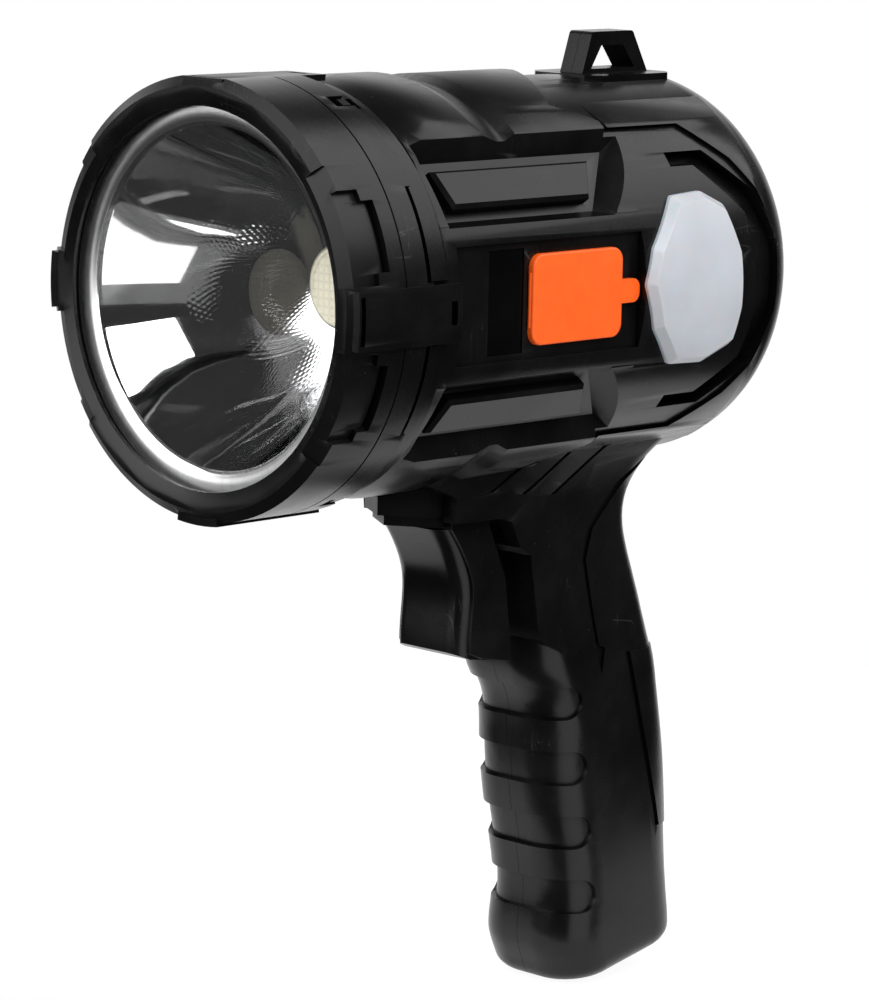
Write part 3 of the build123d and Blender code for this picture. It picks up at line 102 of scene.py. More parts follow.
class SearchlightSizes(bpy.types.PropertyGroup):
    """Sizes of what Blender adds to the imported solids."""

    edge_round: FloatProperty(
        name="Edge round", description="Rounding of the moulded edges",
        default=0.0004, unit="LENGTH")
    mouth_radius: FloatProperty(
        name="Mouth radius", description="Inner radius of the reflector at its mouth",
        default=0.0398, unit="LENGTH")
    tail_radius: FloatProperty(
        name="Tail radius", description="Inner radius of the reflector at the emitter",
        default=0.0098, unit="LENGTH")
    shell_wall: FloatProperty(
        name="Reflector wall", description="Thickness of the reflector's shell",
        default=0.0013, unit="LENGTH")
    flange_thickness: FloatProperty(
        name="Flange thickness", description="Thickness of the reflector's flange",
        default=0.0012, unit="LENGTH")
    dimple_radius: FloatProperty(
        name="Dimple radius", description="Radius of the mirror where its dimples begin",
        default=0.0242, unit="LENGTH")
    dimple_depth: FloatProperty(
        name="Dimple depth", description="Half the height of a dimple",
        default=0.000045, unit="LENGTH")
    dimples_round: IntProperty(
        name="Dimples round", description="Dimples in one row round the mirror", default=96)
    dimple_rows: IntProperty(
        name="Dimple rows", description="Rows of dimples from front to rear", default=15)
    spring_turns: IntProperty(
        name="Spring turns", description="Turns of the trigger's spring", default=5)
    spring_wire: FloatProperty(
        name="Spring wire", description="Diameter of the trigger spring's wire",
        default=0.0006, unit="LENGTH")


class SearchlightColours(bpy.types.PropertyGroup):
    """Colours of the finishes."""

    body_black: FloatVectorProperty(
        name="Body black", description="Satin moulding of the halves, the bezel and the trigger",
        subtype="COLOR", size=3, default=(0.0026, 0.0026, 0.0028), min=0, max=1)
    cover_orange: FloatVectorProperty(
        name="Cover orange", description="Silicone of the charging cover",
        subtype="COLOR", size=3, default=(1.0, 0.12, 0.008), min=0, max=1)
    diffuser_milk: FloatVectorProperty(
        name="Diffuser milk", description="Milky plastic of the side lamp",
        subtype="COLOR", size=3, default=(0.47, 0.465, 0.5), min=0, max=1)
    phosphor: FloatVectorProperty(
        name="Phosphor", description="Cream phosphor of the emitter",
        subtype="COLOR", size=3, default=(0.92, 0.88, 0.68), min=0, max=1)
    backdrop: FloatVectorProperty(
        name="Backdrop", description="Pale floor under the searchlight",
        subtype="COLOR", size=3, default=(0.93, 0.93, 0.93), min=0, max=1)


class Graph:
    """Short way to add and wire shader nodes in one tree."""

    def __init__(self, tree):
        self.tree = tree
        self.count = 0

    def add(self, kind, inputs=None, **settings):
        node = self.tree.nodes.new(kind)
        node.location = (180 * (self.count % 9), -220 * (self.count // 9))
        self.count += 1
        for name, value in settings.items():
            setattr(node, name, value)
        for name, value in (inputs or {}).items():
            self.put(node.inputs[name], value)
        return node

    def put(self, socket, value):
        if isinstance(value, bpy.types.NodeSocket):
            self.tree.links.new(value, socket)
        else:
            socket.default_value = value

    def math(self, operation, first, second=0.0, third=0.0):
        node = self.add("ShaderNodeMath", operation=operation)
        for socket, value in zip(node.inputs, (first, second, third)):
            self.put(socket, value)
        return node.outputs[0]

    def mix(self, factor, first, second):
        node = self.add("ShaderNodeMix", data_type="RGBA")
        self.put(node.inputs["Factor"], factor)
        self.put(node.inputs["A"], first)
        self.put(node.inputs["B"], second)
        return node.outputs["Result"]

    def range(self, value, low, high, to_low=0.0, to_high=1.0):
        node = self.add("ShaderNodeMapRange", clamp=True)
        for name, number in (("Value", value), ("From Min", low), ("From Max", high),
                             ("To Min", to_low), ("To Max", to_high)):
            self.put(node.inputs[name], number)
        return node.outputs["Result"]

    def noise(self, vector, scale, detail, roughness):
        node = self.add("ShaderNodeTexNoise", {
            "Vector": vector, "Scale": scale, "Detail": detail, "Roughness": roughness})
        return node.outputs["Fac"]

    def stretch(self, vector, scale, rotation=(0, 0, 0)):
        node = self.add("ShaderNodeMapping", {
            "Vector": vector, "Scale": scale, "Rotation": rotation})
        return node.outputs["Vector"]


def new_group(name, inputs, outputs):
    tree = bpy.data.node_groups.new(name, "ShaderNodeTree")
    for label, kind, default in inputs:
        socket = tree.interface.new_socket(name=label, in_out="INPUT", socket_type=kind)
        if default is not None:
            socket.default_value = default
    for label in outputs:
        tree.interface.new_socket(name=label, in_out="OUTPUT", socket_type="NodeSocketFloat")
    graph = Graph(tree)
    source = graph.add("NodeGroupInput")
    sink = graph.add("NodeGroupOutput")
    return tree, graph, source, sink


def group_use(graph, name, **values):
    node = graph.add("ShaderNodeGroup", node_tree=shared_group(name))
    for label, value in values.items():
        graph.put(node.inputs[label], value)
    return node


def build_mould_grain(name):
    """Spark-eroded grain: fine noise plus small cells, as a height."""
    tree, graph, source, sink = new_group(
        name, [("Vector", "NodeSocketVector", None), ("Scale", "NodeSocketFloat", PLASTIC_GRAIN)],
        ["Height"])
    scale = source.outputs["Scale"]
    vector = source.outputs["Vector"]
    fine = graph.noise(vector, scale, 2.0, 0.6)
    coarse = graph.noise(vector, graph.math("MULTIPLY", scale, 0.13), 3.0, 0.55)
    cells = graph.add("ShaderNodeTexVoronoi", {
        "Vector": vector, "Scale": graph.math("MULTIPLY", scale, 0.6)})
    cell_height = graph.math("MULTIPLY", cells.outputs["Distance"], 0.35)
    height = graph.math("MULTIPLY_ADD", fine, 0.5, cell_height)
    graph.put(sink.inputs["Height"], graph.math("MULTIPLY_ADD", coarse, 0.5, height))
    return tree


def build_handling(name):
    """Use marks: broad smears, single dust specks and a few fine scratches, each as a mask."""
    tree, graph, source, sink = new_group(
        name, [("Vector", "NodeSocketVector", None), ("Amount", "NodeSocketFloat", 1.0)],
        ["Smear", "Specks", "Scratches"])
    vector = source.outputs["Vector"]
    amount = source.outputs["Amount"]
    smear = graph.noise(vector, 38.0, 5.0, 0.6)
    smear = graph.range(smear, 0.38, 0.68)
    graph.put(sink.inputs["Smear"], graph.math("MULTIPLY", smear, amount))
    dust = graph.add("ShaderNodeTexVoronoi", {"Vector": vector, "Scale": 420.0})
    near = graph.range(dust.outputs["Distance"], 0.09, 0.05)
    pick = graph.add("ShaderNodeSeparateColor", {"Color": dust.outputs["Color"]})
    rare = graph.range(pick.outputs[0], 0.93, 0.95)
    specks = graph.math("MULTIPLY", near, rare)
    graph.put(sink.inputs["Specks"], graph.math("MULTIPLY", specks, amount))
    runs = []
    for turn, scale in (((0.4, 0.9, 0.2), (900, 14, 40)), ((1.3, -0.5, 0.8), (16, 780, 50))):
        run = graph.noise(graph.stretch(vector, scale, turn), 1.0, 1.0, 0.4)
        offset = graph.math("ABSOLUTE", graph.math("SUBTRACT", run, 0.5))
        runs.append(graph.range(offset, 0.006, 0.0))
    lines = graph.math("MAXIMUM", *runs)
    where = graph.range(graph.noise(vector, 60.0, 2.0, 0.5), 0.62, 0.7)
    scratches = graph.math("MULTIPLY", lines, where)
    graph.put(sink.inputs["Scratches"], graph.math("MULTIPLY", scratches, amount))
    return tree


def build_drawn_lines(name):
    """Drawn or brushed metal: noise pulled out along one direction, as a height and a tone."""
    tree, graph, source, sink = new_group(
        name, [("Vector", "NodeSocketVector", None), ("Density", "NodeSocketFloat", 1.0)],
        ["Height", "Tone"])
    vector = source.outputs["Vector"]
    long_way = graph.stretch(vector, (4200, 90, 4200))
    lines = graph.noise(long_way, source.outputs["Density"], 3.0, 0.6)
    graph.put(sink.inputs["Height"], lines)
    tone = graph.math("MULTIPLY", graph.noise(vector, 160.0, 3.0, 0.6), 0.5)
    graph.put(sink.inputs["Tone"], graph.math("MULTIPLY_ADD", lines, 0.5, tone))
    return tree


GROUP_MAKERS = {
    "Mould grain": build_mould_grain,
    "Handling marks": build_handling,
    "Drawn lines": build_drawn_lines,
}


def shared_group(name):
    return bpy.data.node_groups.get(name) or GROUP_MAKERS[name](name)


def finish_start(name):
    material = bpy.data.materials.new(name)
    material.use_nodes = True
    material.node_tree.nodes.clear()
    graph = Graph(material.node_tree)
    place = graph.add("ShaderNodeTexCoord").outputs["Object"]
    return material, graph, place


def finish_end(graph, shader):
    graph.add("ShaderNodeOutputMaterial", {"Surface": shader.outputs[0]})


def bump(graph, height, distance, strength):
    node = graph.add("ShaderNodeBump", {
        "Height": height, "Distance": distance, "Strength": strength})
    return node.outputs["Normal"]


def recess(graph):
    """How open the surface is: 0 deep in a slot, 1 where nothing stands within the reach. It places
    the painted shade of recesses and their extra roughness.
    """
    near = graph.add("ShaderNodeAmbientOcclusion", {"Distance": RECESS_REACH}, samples=8)
    return graph.range(near.outputs["AO"], 0.45, 0.95)


def rgba(colour, alpha=1.0):
    return (colour[0], colour[1], colour[2], alpha)


def shade(colour, factor):
    """Colour times a factor, kept at 1 or less."""
    return rgba([min(1.0, channel * factor) for channel in colour])


def moulding(name, colour, rough=(0.21, 0.32), lift=2.2):
    """Injection moulded plastic: grain, uneven sheen, painted shade in recesses, dust and pale
    scratches.
    """
    material, graph, place = finish_start(name)
    grain = group_use(graph, "Mould grain", Vector=place, Scale=PLASTIC_GRAIN)
    use = group_use(graph, "Handling marks", Vector=place, Amount=1.0)
    open_air = recess(graph)
    base = graph.mix(use.outputs["Smear"], rgba(colour), shade(colour, lift))
    base = graph.mix(graph.math("MULTIPLY", use.outputs["Specks"], 0.06), base, DUST)
    base = graph.mix(graph.math("MULTIPLY", use.outputs["Scratches"], 0.1), base, SCRATCH)
    # Painted shade: recesses and slots darkened towards near black by ambient occlusion.
    base = graph.mix(open_air, PAINTED_RECESS_SHADE, base)
    roughness = graph.range(use.outputs["Smear"], 0.0, 1.0, *rough)
    roughness = graph.math("MULTIPLY_ADD", use.outputs["Specks"], 0.3, roughness)
    closed = graph.math("SUBTRACT", 1.0, open_air)
    roughness = graph.math("MULTIPLY_ADD", closed, 0.12, roughness)
    shader = graph.add("ShaderNodeBsdfPrincipled", {
        "Base Color": base, "Roughness": roughness, "Specular IOR Level": 0.32,
        "Normal": bump(graph, grain.outputs["Height"], 0.00002, 0.5)})
    finish_end(graph, shader)
    return material


def soft_rubber(name, colour, rough=0.55, subsurface=0.0):
    """Silicone or rubber: faint mottling, powdery sheen and a soft bump."""
    material, graph, place = finish_start(name)
    grain = group_use(graph, "Mould grain", Vector=place, Scale=RUBBER_GRAIN)
    use = group_use(graph, "Handling marks", Vector=place, Amount=0.8)
    tone = graph.range(graph.noise(place, 240.0, 4.0, 0.6), 0.35, 0.7)
    base = graph.mix(tone, rgba(colour), shade(colour, 0.86))
    dust = graph.math("MULTIPLY", use.outputs["Specks"], 0.4)
    base = graph.mix(dust, base, (0.8, 0.75, 0.7, 1))
    roughness = graph.range(use.outputs["Smear"], 0.0, 1.0, rough - 0.09, rough + 0.08)
    shader = graph.add("ShaderNodeBsdfPrincipled", {
        "Base Color": base, "Roughness": roughness, "Specular IOR Level": 0.4,
        "Subsurface Weight": subsurface, "Subsurface Scale": 0.002,
        "Normal": bump(graph, grain.outputs["Height"], 0.00004, 0.5)})
    finish_end(graph, shader)
    return material


def metal(name, colour, rough=(0.22, 0.38)):
    """Drawn, rolled or plated metal with fine lines and uneven tone."""
    material, graph, place = finish_start(name)
    lines = group_use(graph, "Drawn lines", Vector=place, Density=1.0)
    base = graph.mix(lines.outputs["Tone"], shade(colour, 0.78), rgba(colour))
    roughness = graph.range(lines.outputs["Tone"], 0.3, 0.7, *rough)
    shader = graph.add("ShaderNodeBsdfPrincipled", {
        "Base Color": base, "Roughness": roughness, "Metallic": 1.0,
        "Normal": bump(graph, lines.outputs["Height"], 0.00001, 0.5)})
    finish_end(graph, shader)
    return material


def board_mask(name, colour, trace):
    """Printed board: solder mask with slightly raised copper runs and a faint weave."""
    material, graph, place = finish_start(name)
    bricks = graph.add("ShaderNodeTexVoronoi", {"Vector": place, "Scale": 315.0},
                       distance="MANHATTAN", feature="F1")
    runs = graph.range(bricks.outputs["Distance"], 0.42, 0.46)
    weave = graph.noise(place, 2700.0, 2.0, 0.6)
    base = graph.mix(runs, rgba(colour), rgba(trace))
    base = graph.mix(graph.math("MULTIPLY", weave, 0.25), base, shade(colour, 0.6))
    roughness = graph.range(runs, 0.0, 1.0, 0.3, 0.42)
    shader = graph.add("ShaderNodeBsdfPrincipled", {
        "Base Color": base, "Roughness": roughness, "Normal": bump(graph, runs, 0.00004, 0.6)})
    finish_end(graph, shader)
    return material


def reflector_finish(name):
    """Vacuum-metallised mirror: satin flange, faint streaks along the mirror, and a light haze."""
    material, graph, place = finish_start(name)
    spot = graph.add("ShaderNodeUVMap", uv_map="turn").outputs["UV"]
    parts = graph.add("ShaderNodeSeparateXYZ", {"Vector": place})
    height = graph.math("SUBTRACT", parts.outputs["Z"], AXIS_Z)
    spoke = graph.add("ShaderNodeCombineXYZ", {"X": parts.outputs["X"], "Z": height})
    radius = graph.add("ShaderNodeVectorMath", {0: spoke.outputs[0]}, operation="LENGTH")
    flange = graph.range(radius.outputs["Value"], 0.0396, 0.0401)
    streaks = graph.noise(graph.stretch(spot, (170.0, 2.2, 1.0)), 1.0, 3.0, 0.6)
    ripple = graph.noise(graph.stretch(spot, (4.0, 6.0, 1.0)), 1.0, 2.0, 0.5)
    haze = graph.noise(place, 70.0, 4.0, 0.6)
    base = graph.mix(graph.range(streaks, 0.45, 0.75), MIRROR_PALE, MIRROR_DIM)
    satin = graph.math("MULTIPLY", flange, 0.3)
    mirror = graph.range(haze, 0.45, 0.8, 0.03, 0.075)
    waves = graph.math("MULTIPLY_ADD", streaks, 0.1, ripple)
    shader = graph.add("ShaderNodeBsdfPrincipled", {
        "Base Color": base, "Roughness": graph.math("MAXIMUM", satin, mirror), "Metallic": 1.0,
        "Normal": bump(graph, waves, 0.00012, 0.25)})
    finish_end(graph, shader)
    return material


def clear_pane(name):
    """Clear flat lens: mostly straight through, with a faint gloss and smears."""
    material, graph, place = finish_start(name)
    smear = group_use(graph, "Handling marks", Vector=place, Amount=1.0)
    roughness = graph.range(smear.outputs["Smear"], 0.0, 1.0, 0.0, 0.03)
    haze = graph.range(smear.outputs["Smear"], 0.0, 1.0, 0.05, 0.08)
    glass = graph.add("ShaderNodeBsdfPrincipled", {
        "Base Color": (1, 1, 1, 1), "Roughness": roughness, "Transmission Weight": 1.0, "IOR": 1.45,
        "Alpha": haze})
    finish_end(graph, glass)
    return material


def diffuser_finish(name, colour):
    """Milky plastic over white light sources, a little glossy and uneven in depth."""
    material, graph, place = finish_start(name)
    cloud = graph.noise(place, 55.0, 3.0, 0.5)
    use = group_use(graph, "Handling marks", Vector=place, Amount=0.6)
    base = graph.mix(graph.range(cloud, 0.35, 0.65), rgba(colour), shade(colour, 1.12))
    roughness = graph.range(use.outputs["Smear"], 0.0, 1.0, 0.3, 0.4)
    shader = graph.add("ShaderNodeBsdfPrincipled", {
        "Base Color": base, "Roughness": roughness, "Specular IOR Level": 0.45,
        "Subsurface Weight": 0.45, "Subsurface Scale": 0.006,
        "Normal": bump(graph, graph.noise(place, 500.0, 2.0, 0.5), 0.00003, 0.4)})
    finish_end(graph, shader)
    return material


def smoked_finish(name):
    """Smoked black gloss with a few hairlines."""
    material, graph, place = finish_start(name)
    use = group_use(graph, "Handling marks", Vector=place, Amount=1.0)
    base = graph.mix(use.outputs["Smear"], (0.0012, 0.0012, 0.0014, 1), (0.0022, 0.0022, 0.0026, 1))
    roughness = graph.range(use.outputs["Smear"], 0.0, 1.0, 0.12, 0.24)
    shader = graph.add("ShaderNodeBsdfPrincipled", {
        "Base Color": base, "Roughness": roughness, "Specular IOR Level": 0.16})
    finish_end(graph, shader)
    return material


def phosphor_finish(name, colour):
    """Cream phosphor with faint rows of chips under it."""
    material, graph, place = finish_start(name)
    chips = graph.add("ShaderNodeTexVoronoi", {"Vector": place, "Scale": 520.0, "Randomness": 0.0},
                      distance="CHEBYCHEV")
    rows = graph.range(chips.outputs["Distance"], 0.25, 0.45)
    base = graph.mix(rows, rgba(colour), shade(colour, 0.86))
    grit = graph.noise(place, 3000.0, 2.0, 0.6)
    base = graph.mix(graph.math("MULTIPLY", grit, 0.2), base, (0.96, 0.93, 0.8, 1))
    shader = graph.add("ShaderNodeBsdfPrincipled", {
        "Base Color": base, "Roughness": graph.range(grit, 0.3, 0.7, 0.3, 0.45),
        "Normal": bump(graph, rows, 0.00006, 0.5)})
    finish_end(graph, shader)
    return material


def wire_finish(name, first, second, axis, middle):
    """PVC insulation in two colours, one each side of a plane."""
    material, graph, place = finish_start(name)
    parts = graph.add("ShaderNodeSeparateXYZ", {"Vector": place})
    side = graph.math("GREATER_THAN", parts.outputs[axis], middle)
    tone = graph.noise(place, 900.0, 2.0, 0.5)
    base = graph.mix(side, rgba(first), rgba(second))
    base = graph.mix(graph.math("MULTIPLY", tone, 0.3), base, shade(first, 0.6))
    shader = graph.add("ShaderNodeBsdfPrincipled", {
        "Base Color": base, "Roughness": graph.range(tone, 0.3, 0.7, 0.34, 0.46),
        "Normal": bump(graph, tone, 0.00003, 0.4)})
    finish_end(graph, shader)
    return material


def cell_finish(name):
    """Blue shrink wrap, painted darker in the hollows of its creases as shade, with bare nickel at
    its upper end.
    """
    material, graph, place = finish_start(name)
    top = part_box("battery_cell")[1][2]
    parts = graph.add("ShaderNodeSeparateXYZ", {"Vector": place})
    bare = graph.range(parts.outputs["Z"], top - 0.0016, top - 0.0014)
    creases = graph.noise(graph.stretch(place, (60, 60, 700)), 1.0, 3.0, 0.5)
    crease_hollow_shade = graph.range(creases, 0.3, 0.7)
    # Painted shade: the wrap is darker where the crease bump is low.
    base = graph.mix(crease_hollow_shade, (0.02, 0.09, 0.32, 1), (0.03, 0.13, 0.42, 1))
    base = graph.mix(bare, base, (0.6, 0.59, 0.56, 1))
    shader = graph.add("ShaderNodeBsdfPrincipled", {
        "Base Color": base, "Roughness": graph.range(creases, 0.3, 0.7, 0.22, 0.34),
        "Metallic": bare, "Normal": bump(graph, creases, 0.00005, 0.4)})
    finish_end(graph, shader)
    return material


def sheet_faces(rows, columns, wrap_rows):
    """Quads of a grid of points, closed across the columns, and round the rows if asked."""
    down = np.arange(rows if wrap_rows else rows - 1)
    i, j = np.meshgrid(down, np.arange(columns), indexing="ij")
    i, j = i.ravel(), j.ravel()
    below, beside = (i + 1) % rows, (j + 1) % columns
    corners = ((i, j), (i, beside), (below, beside), (below, j))
    return np.stack([row * columns + column for row, column in corners], 1)


def add_object(name, data):
    thing = bpy.data.objects.new(name, data)
    bpy.context.scene.collection.objects.link(thing)
    return thing


def mesh_object(name, points, faces):
    """Smooth mesh of a list of faces over an array of points."""
    mesh = bpy.data.meshes.new(name)
    mesh.from_pydata(points.tolist(), [], faces)
    mesh.polygons.foreach_set("use_smooth", np.full(len(mesh.polygons), True))
    mesh.update()
    return add_object(name, mesh)


def face_outwards(piece):
    work = bmesh.new()
    work.from_mesh(piece.data)
    bmesh.ops.recalc_face_normals(work, faces=work.faces)
    work.to_mesh(piece.data)
    work.free()


def turned_piece(name, profile, segments, uv_name=None):
    """Closed solid of revolution about the barrel's axis.

    Each profile point is a radius and a place along Y. Point (i, j) is the profile point i
    turned by j / segments of a full turn: x = r cos t, z = axis + r sin t.
    """
    profile = np.asarray(profile)
    turn = np.arange(segments) * (2 * math.pi / segments)
    radius = profile[:, 0][:, None]
    length = np.broadcast_to(profile[:, 1][:, None], (len(profile), segments))
    points = np.stack(
        [radius * np.cos(turn), length, AXIS_Z + radius * np.sin(turn)], -1).reshape(-1, 3)
    piece = mesh_object(name, points, sheet_faces(len(profile), segments, True).tolist())
    if uv_name:
        steps = np.linalg.norm(np.diff(profile, axis=0), axis=1)
        along = np.concatenate([[0], np.cumsum(steps)])
        along = along / along[-1]
        loops = np.empty(len(piece.data.loops), dtype=np.int32)
        piece.data.loops.foreach_get("vertex_index", loops)
        row, column = loops // segments, loops % segments
        share = column / segments
        corner = np.arange(len(loops)) % 4
        last = (column == 0) & ((corner == 1) | (corner == 2))
        share = np.where(last, 1.0, share)
        spots = np.stack([share, along[row]], 1)
        layer = piece.data.uv_layers.new(name=uv_name)
        layer.data.foreach_set("uv", spots.ravel().astype(np.float32))
    face_outwards(piece)
    return piece


def tube_piece(name, line, radius, sides):
    """Round tube along a line of points, capped at both ends.

    The ring at each point is centre + r (cos t * side + sin t * over), where side is square to
    the line and to Y, and over is square to both.
    """
    line = np.asarray(line, float)
    way = np.gradient(line, axis=0)
    way /= np.linalg.norm(way, axis=1)[:, None]
    side = np.cross(way, np.array([0.0, 1.0, 0.0]))
    side /= np.linalg.norm(side, axis=1)[:, None]
    over = np.cross(way, side)
    turn = np.arange(sides) * (2 * math.pi / sides)
    ring = (np.cos(turn)[None, :, None] * side[:, None, :]
            + np.sin(turn)[None, :, None] * over[:, None, :])
    points = (line[:, None, :] + radius * ring).reshape(-1, 3)
    first = len(points)
    points = np.vstack([points, line[0], line[-1]])
    near = np.arange(sides)
    after = (near + 1) % sides
    last_ring = (len(line) - 1) * sides
    start = np.stack([np.full(sides, first), after, near], 1)
    end = np.stack([np.full(sides, first + 1), last_ring + near, last_ring + after], 1)
    faces = sheet_faces(len(line), sides, False).tolist() + start.tolist() + end.tolist()
    piece = mesh_object(name, points, faces)
    face_outwards(piece)
    return piece


def welded_copy(node, name, round_width, segments=2):
    """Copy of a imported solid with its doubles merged, flat faces joined and edges rounded."""
    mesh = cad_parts[node].data.copy()
    mesh.name = name
    work = bmesh.new()
    work.from_mesh(mesh)
    bmesh.ops.remove_doubles(work, verts=work.verts, dist=WELD_REACH)
    bmesh.ops.dissolve_limit(
        work, angle_limit=FLAT_ANGLE, verts=work.verts, edges=work.edges, delimit={"NORMAL"})
    for edge in work.edges:
        edge.smooth = len(edge.link_faces) == 2 and edge.calc_face_angle(0.0) < SHARP_ANGLE
    for face in work.faces:
        face.smooth = True
    work.to_mesh(mesh)
    work.free()
    mesh.materials.clear()
    piece = add_object(name, mesh)
    if round_width > 0:
        bevel = piece.modifiers.new("rounded edges", "BEVEL")
        bevel.width = round_width
        bevel.segments = segments
        bevel.limit_method = "ANGLE"
        bevel.angle_limit = SHARP_ANGLE
        bevel.miter_outer = "MITER_ARC"
        bevel.use_clamp_overlap = True
        bevel.harden_normals = True
    return piece


def set_finish(piece, material):
    piece.data.materials.clear()
    piece.data.materials.append(material)


def dress_node(node, material):
    """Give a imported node's own slots a better finish."""
    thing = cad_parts[node]
    if thing.material_slots:
        for slot in thing.material_slots:
            slot.material = material
    else:
        thing.data.materials.append(material)


def settle(piece, body, slot, *nodes):
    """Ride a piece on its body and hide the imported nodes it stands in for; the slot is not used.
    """
    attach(piece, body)
    if nodes:
        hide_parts(*nodes)


class SEARCHLIGHT_OT_housing(bpy.types.Operator):
    """Both halves of the black housing, with rounded edges and moulded grain"""

    bl_idname = "searchlight.housing"
    bl_label = "Housing halves"

    def execute(self, context):
        sizes = context.scene.searchlight_sizes
        black = moulding("satin black moulding", context.scene.searchlight_colours.body_black)
        for node in ("housing_left", "housing_right"):
            piece = welded_copy(node, node + "_moulding", sizes.edge_round)
            set_finish(piece, black)
            settle(piece, "housing", "black_abs", node)
        dress_node("housing_screws", metal(
            "blackened screw steel", (0.09, 0.09, 0.095), rough=(0.3, 0.45)))
        return {"FINISHED"}


class SEARCHLIGHT_OT_bezel(bpy.types.Operator):
    """Snap-on bezel with its lugs, pockets and latches"""

    bl_idname = "searchlight.bezel"
    bl_label = "Bezel"

    def execute(self, context):
        scene = context.scene
        black = moulding(
            "bezel moulding", scene.searchlight_colours.body_black, rough=(0.23, 0.34))
        piece = welded_copy(
            "bezel_ring", "bezel_moulding", scene.searchlight_sizes.edge_round)
        set_finish(piece, black)
        settle(piece, "housing", "black_abs", "bezel_ring")
        return {"FINISHED"}


class SEARCHLIGHT_OT_optics(bpy.types.Operator):
    """Mirror reflector with its dimpled tail, the clear lens and its gasket"""

    bl_idname = "searchlight.optics"
    bl_label = "Reflector and lens"

    def execute(self, context):
        sizes = context.scene.searchlight_sizes
        low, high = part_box("reflector")
        mouth, tail, wall = sizes.mouth_radius, sizes.tail_radius, sizes.shell_wall
        front, back = low[1], high[1]
        outer = (high[0] - low[0]) / 2
        flange_back = front + sizes.flange_thickness
        steepness = (mouth ** 2 - tail ** 2) / (back - front)
        vertex = front + mouth ** 2 / steepness
        smooth = np.linspace(mouth, sizes.dimple_radius, MIRROR_POINTS)
        rough = np.linspace(sizes.dimple_radius, tail, DIMPLE_POINTS * sizes.dimple_rows)
        radius = np.concatenate([smooth, rough[1:]])
        curve = np.stack([radius, vertex - radius ** 2 / steepness], 1)
        curve = curve[curve[:, 1] > front + FLANGE_CROWN]
        roll = np.linspace(0.0, 1.0, FLANGE_POINTS)
        rise = FLANGE_CROWN * (2 * roll - 1) ** 4
        rolled = np.stack([outer + (mouth - outer) * roll, front + rise], 1)
        rim = np.array([[outer, flange_back]])
        outside = curve[::-OUTSIDE_STEP] + np.array([wall, 0.0])
        outside = outside[outside[:, 1] > front + sizes.flange_thickness * 1.2]
        seat = np.array([[mouth + wall, flange_back]])
        profile = np.vstack([rim, rolled, curve, outside, seat])
        first = 1 + len(rolled)
        reached = (sizes.dimple_radius - curve[:, 0]) / (sizes.dimple_radius - tail)
        share = np.zeros(len(profile))
        share[first:first + len(curve)] = np.clip(reached, 0.0, 1.0)
        piece = turned_piece(
            "reflector_mirror", profile, DIMPLE_POINTS * sizes.dimples_round, "turn")
        self.press_dimples(piece, share, sizes)
        set_finish(piece, reflector_finish("metallised mirror"))
        settle(piece, "housing", "mirror_aluminium", "reflector")
        dress_node("front_lens", clear_pane("clear lens"))
        dress_node("lens_gasket", soft_rubber("gasket rubber", (0.012, 0.012, 0.012)))
        return {"FINISHED"}

    def press_dimples(self, piece, share, sizes):
        """Move the mirror's rear points in or out: depth * cos(n t) * cos(pi m s).

        Here t is the turn, s the share of the dimpled stretch, n the dimples round and m the
        rows. The pattern fades in over the first eighth and out over the last thirtieth.
        """
        rows, columns = len(share), DIMPLE_POINTS * sizes.dimples_round
        turn = np.arange(columns) * (2 * math.pi / columns)
        spots = np.empty(rows * columns * 3)
        piece.data.vertices.foreach_get("co", spots)
        spots = spots.reshape(rows, columns, 3)
        fade = np.clip(share * 8, 0, 1) * np.clip((1 - share) * 30, 0, 1)
        around = np.cos(sizes.dimples_round * turn)[None, :]
        along = np.cos(math.pi * sizes.dimple_rows * share)[:, None]
        push = sizes.dimple_depth * fade[:, None] * (around * along)
        spots[:, :, 0] += push * np.cos(turn)[None, :]
        spots[:, :, 2] += push * np.sin(turn)[None, :]
        piece.data.vertices.foreach_set("co", spots.ravel())
        piece.data.update()


class SEARCHLIGHT_OT_emitter(bpy.types.Operator):
    """Light emitter, its white board, screws and the finned heat sink"""

    bl_idname = "searchlight.emitter"
    bl_label = "Emitter and heat sink"

    def execute(self, context):
        colours = context.scene.searchlight_colours
        low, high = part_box("led_emitter")
        outer = (high[0] - low[0]) / 2
        inner = outer - EMITTER_RIM
        base, top = high[1], low[1]
        step, chamfer, hole = 0.0001, 0.0003, 0.02
        spread = np.linspace(hole, 1.0, 26)
        dome = np.stack([spread * inner, top + step + 0.00025 * spread ** 2], 1)
        rim = np.array([
            [inner + step, top + 2 * step], [inner + chamfer, top], [outer - chamfer, top],
            [outer, top + chamfer], [outer, base], [hole * inner, base]])
        piece = turned_piece("emitter_disc", np.vstack([dome, rim]), EMITTER_SEGMENTS)
        set_finish(piece, phosphor_finish("cream phosphor", colours.phosphor))
        settle(piece, "housing", "emitter_phosphor", "led_emitter")
        dress_node("led_board", board_mask(
            "white board", (0.74, 0.76, 0.74), (0.66, 0.68, 0.66)))
        steel = metal("zinc plated screws", (0.58, 0.58, 0.6))
        for node in ("led_board_screws", "heat_sink_screws", "control_board_screws"):
            dress_node(node, steel)
        dress_node("heat_sink", metal("bare aluminium", (0.72, 0.73, 0.74), rough=(0.3, 0.48)))
        return {"FINISHED"}


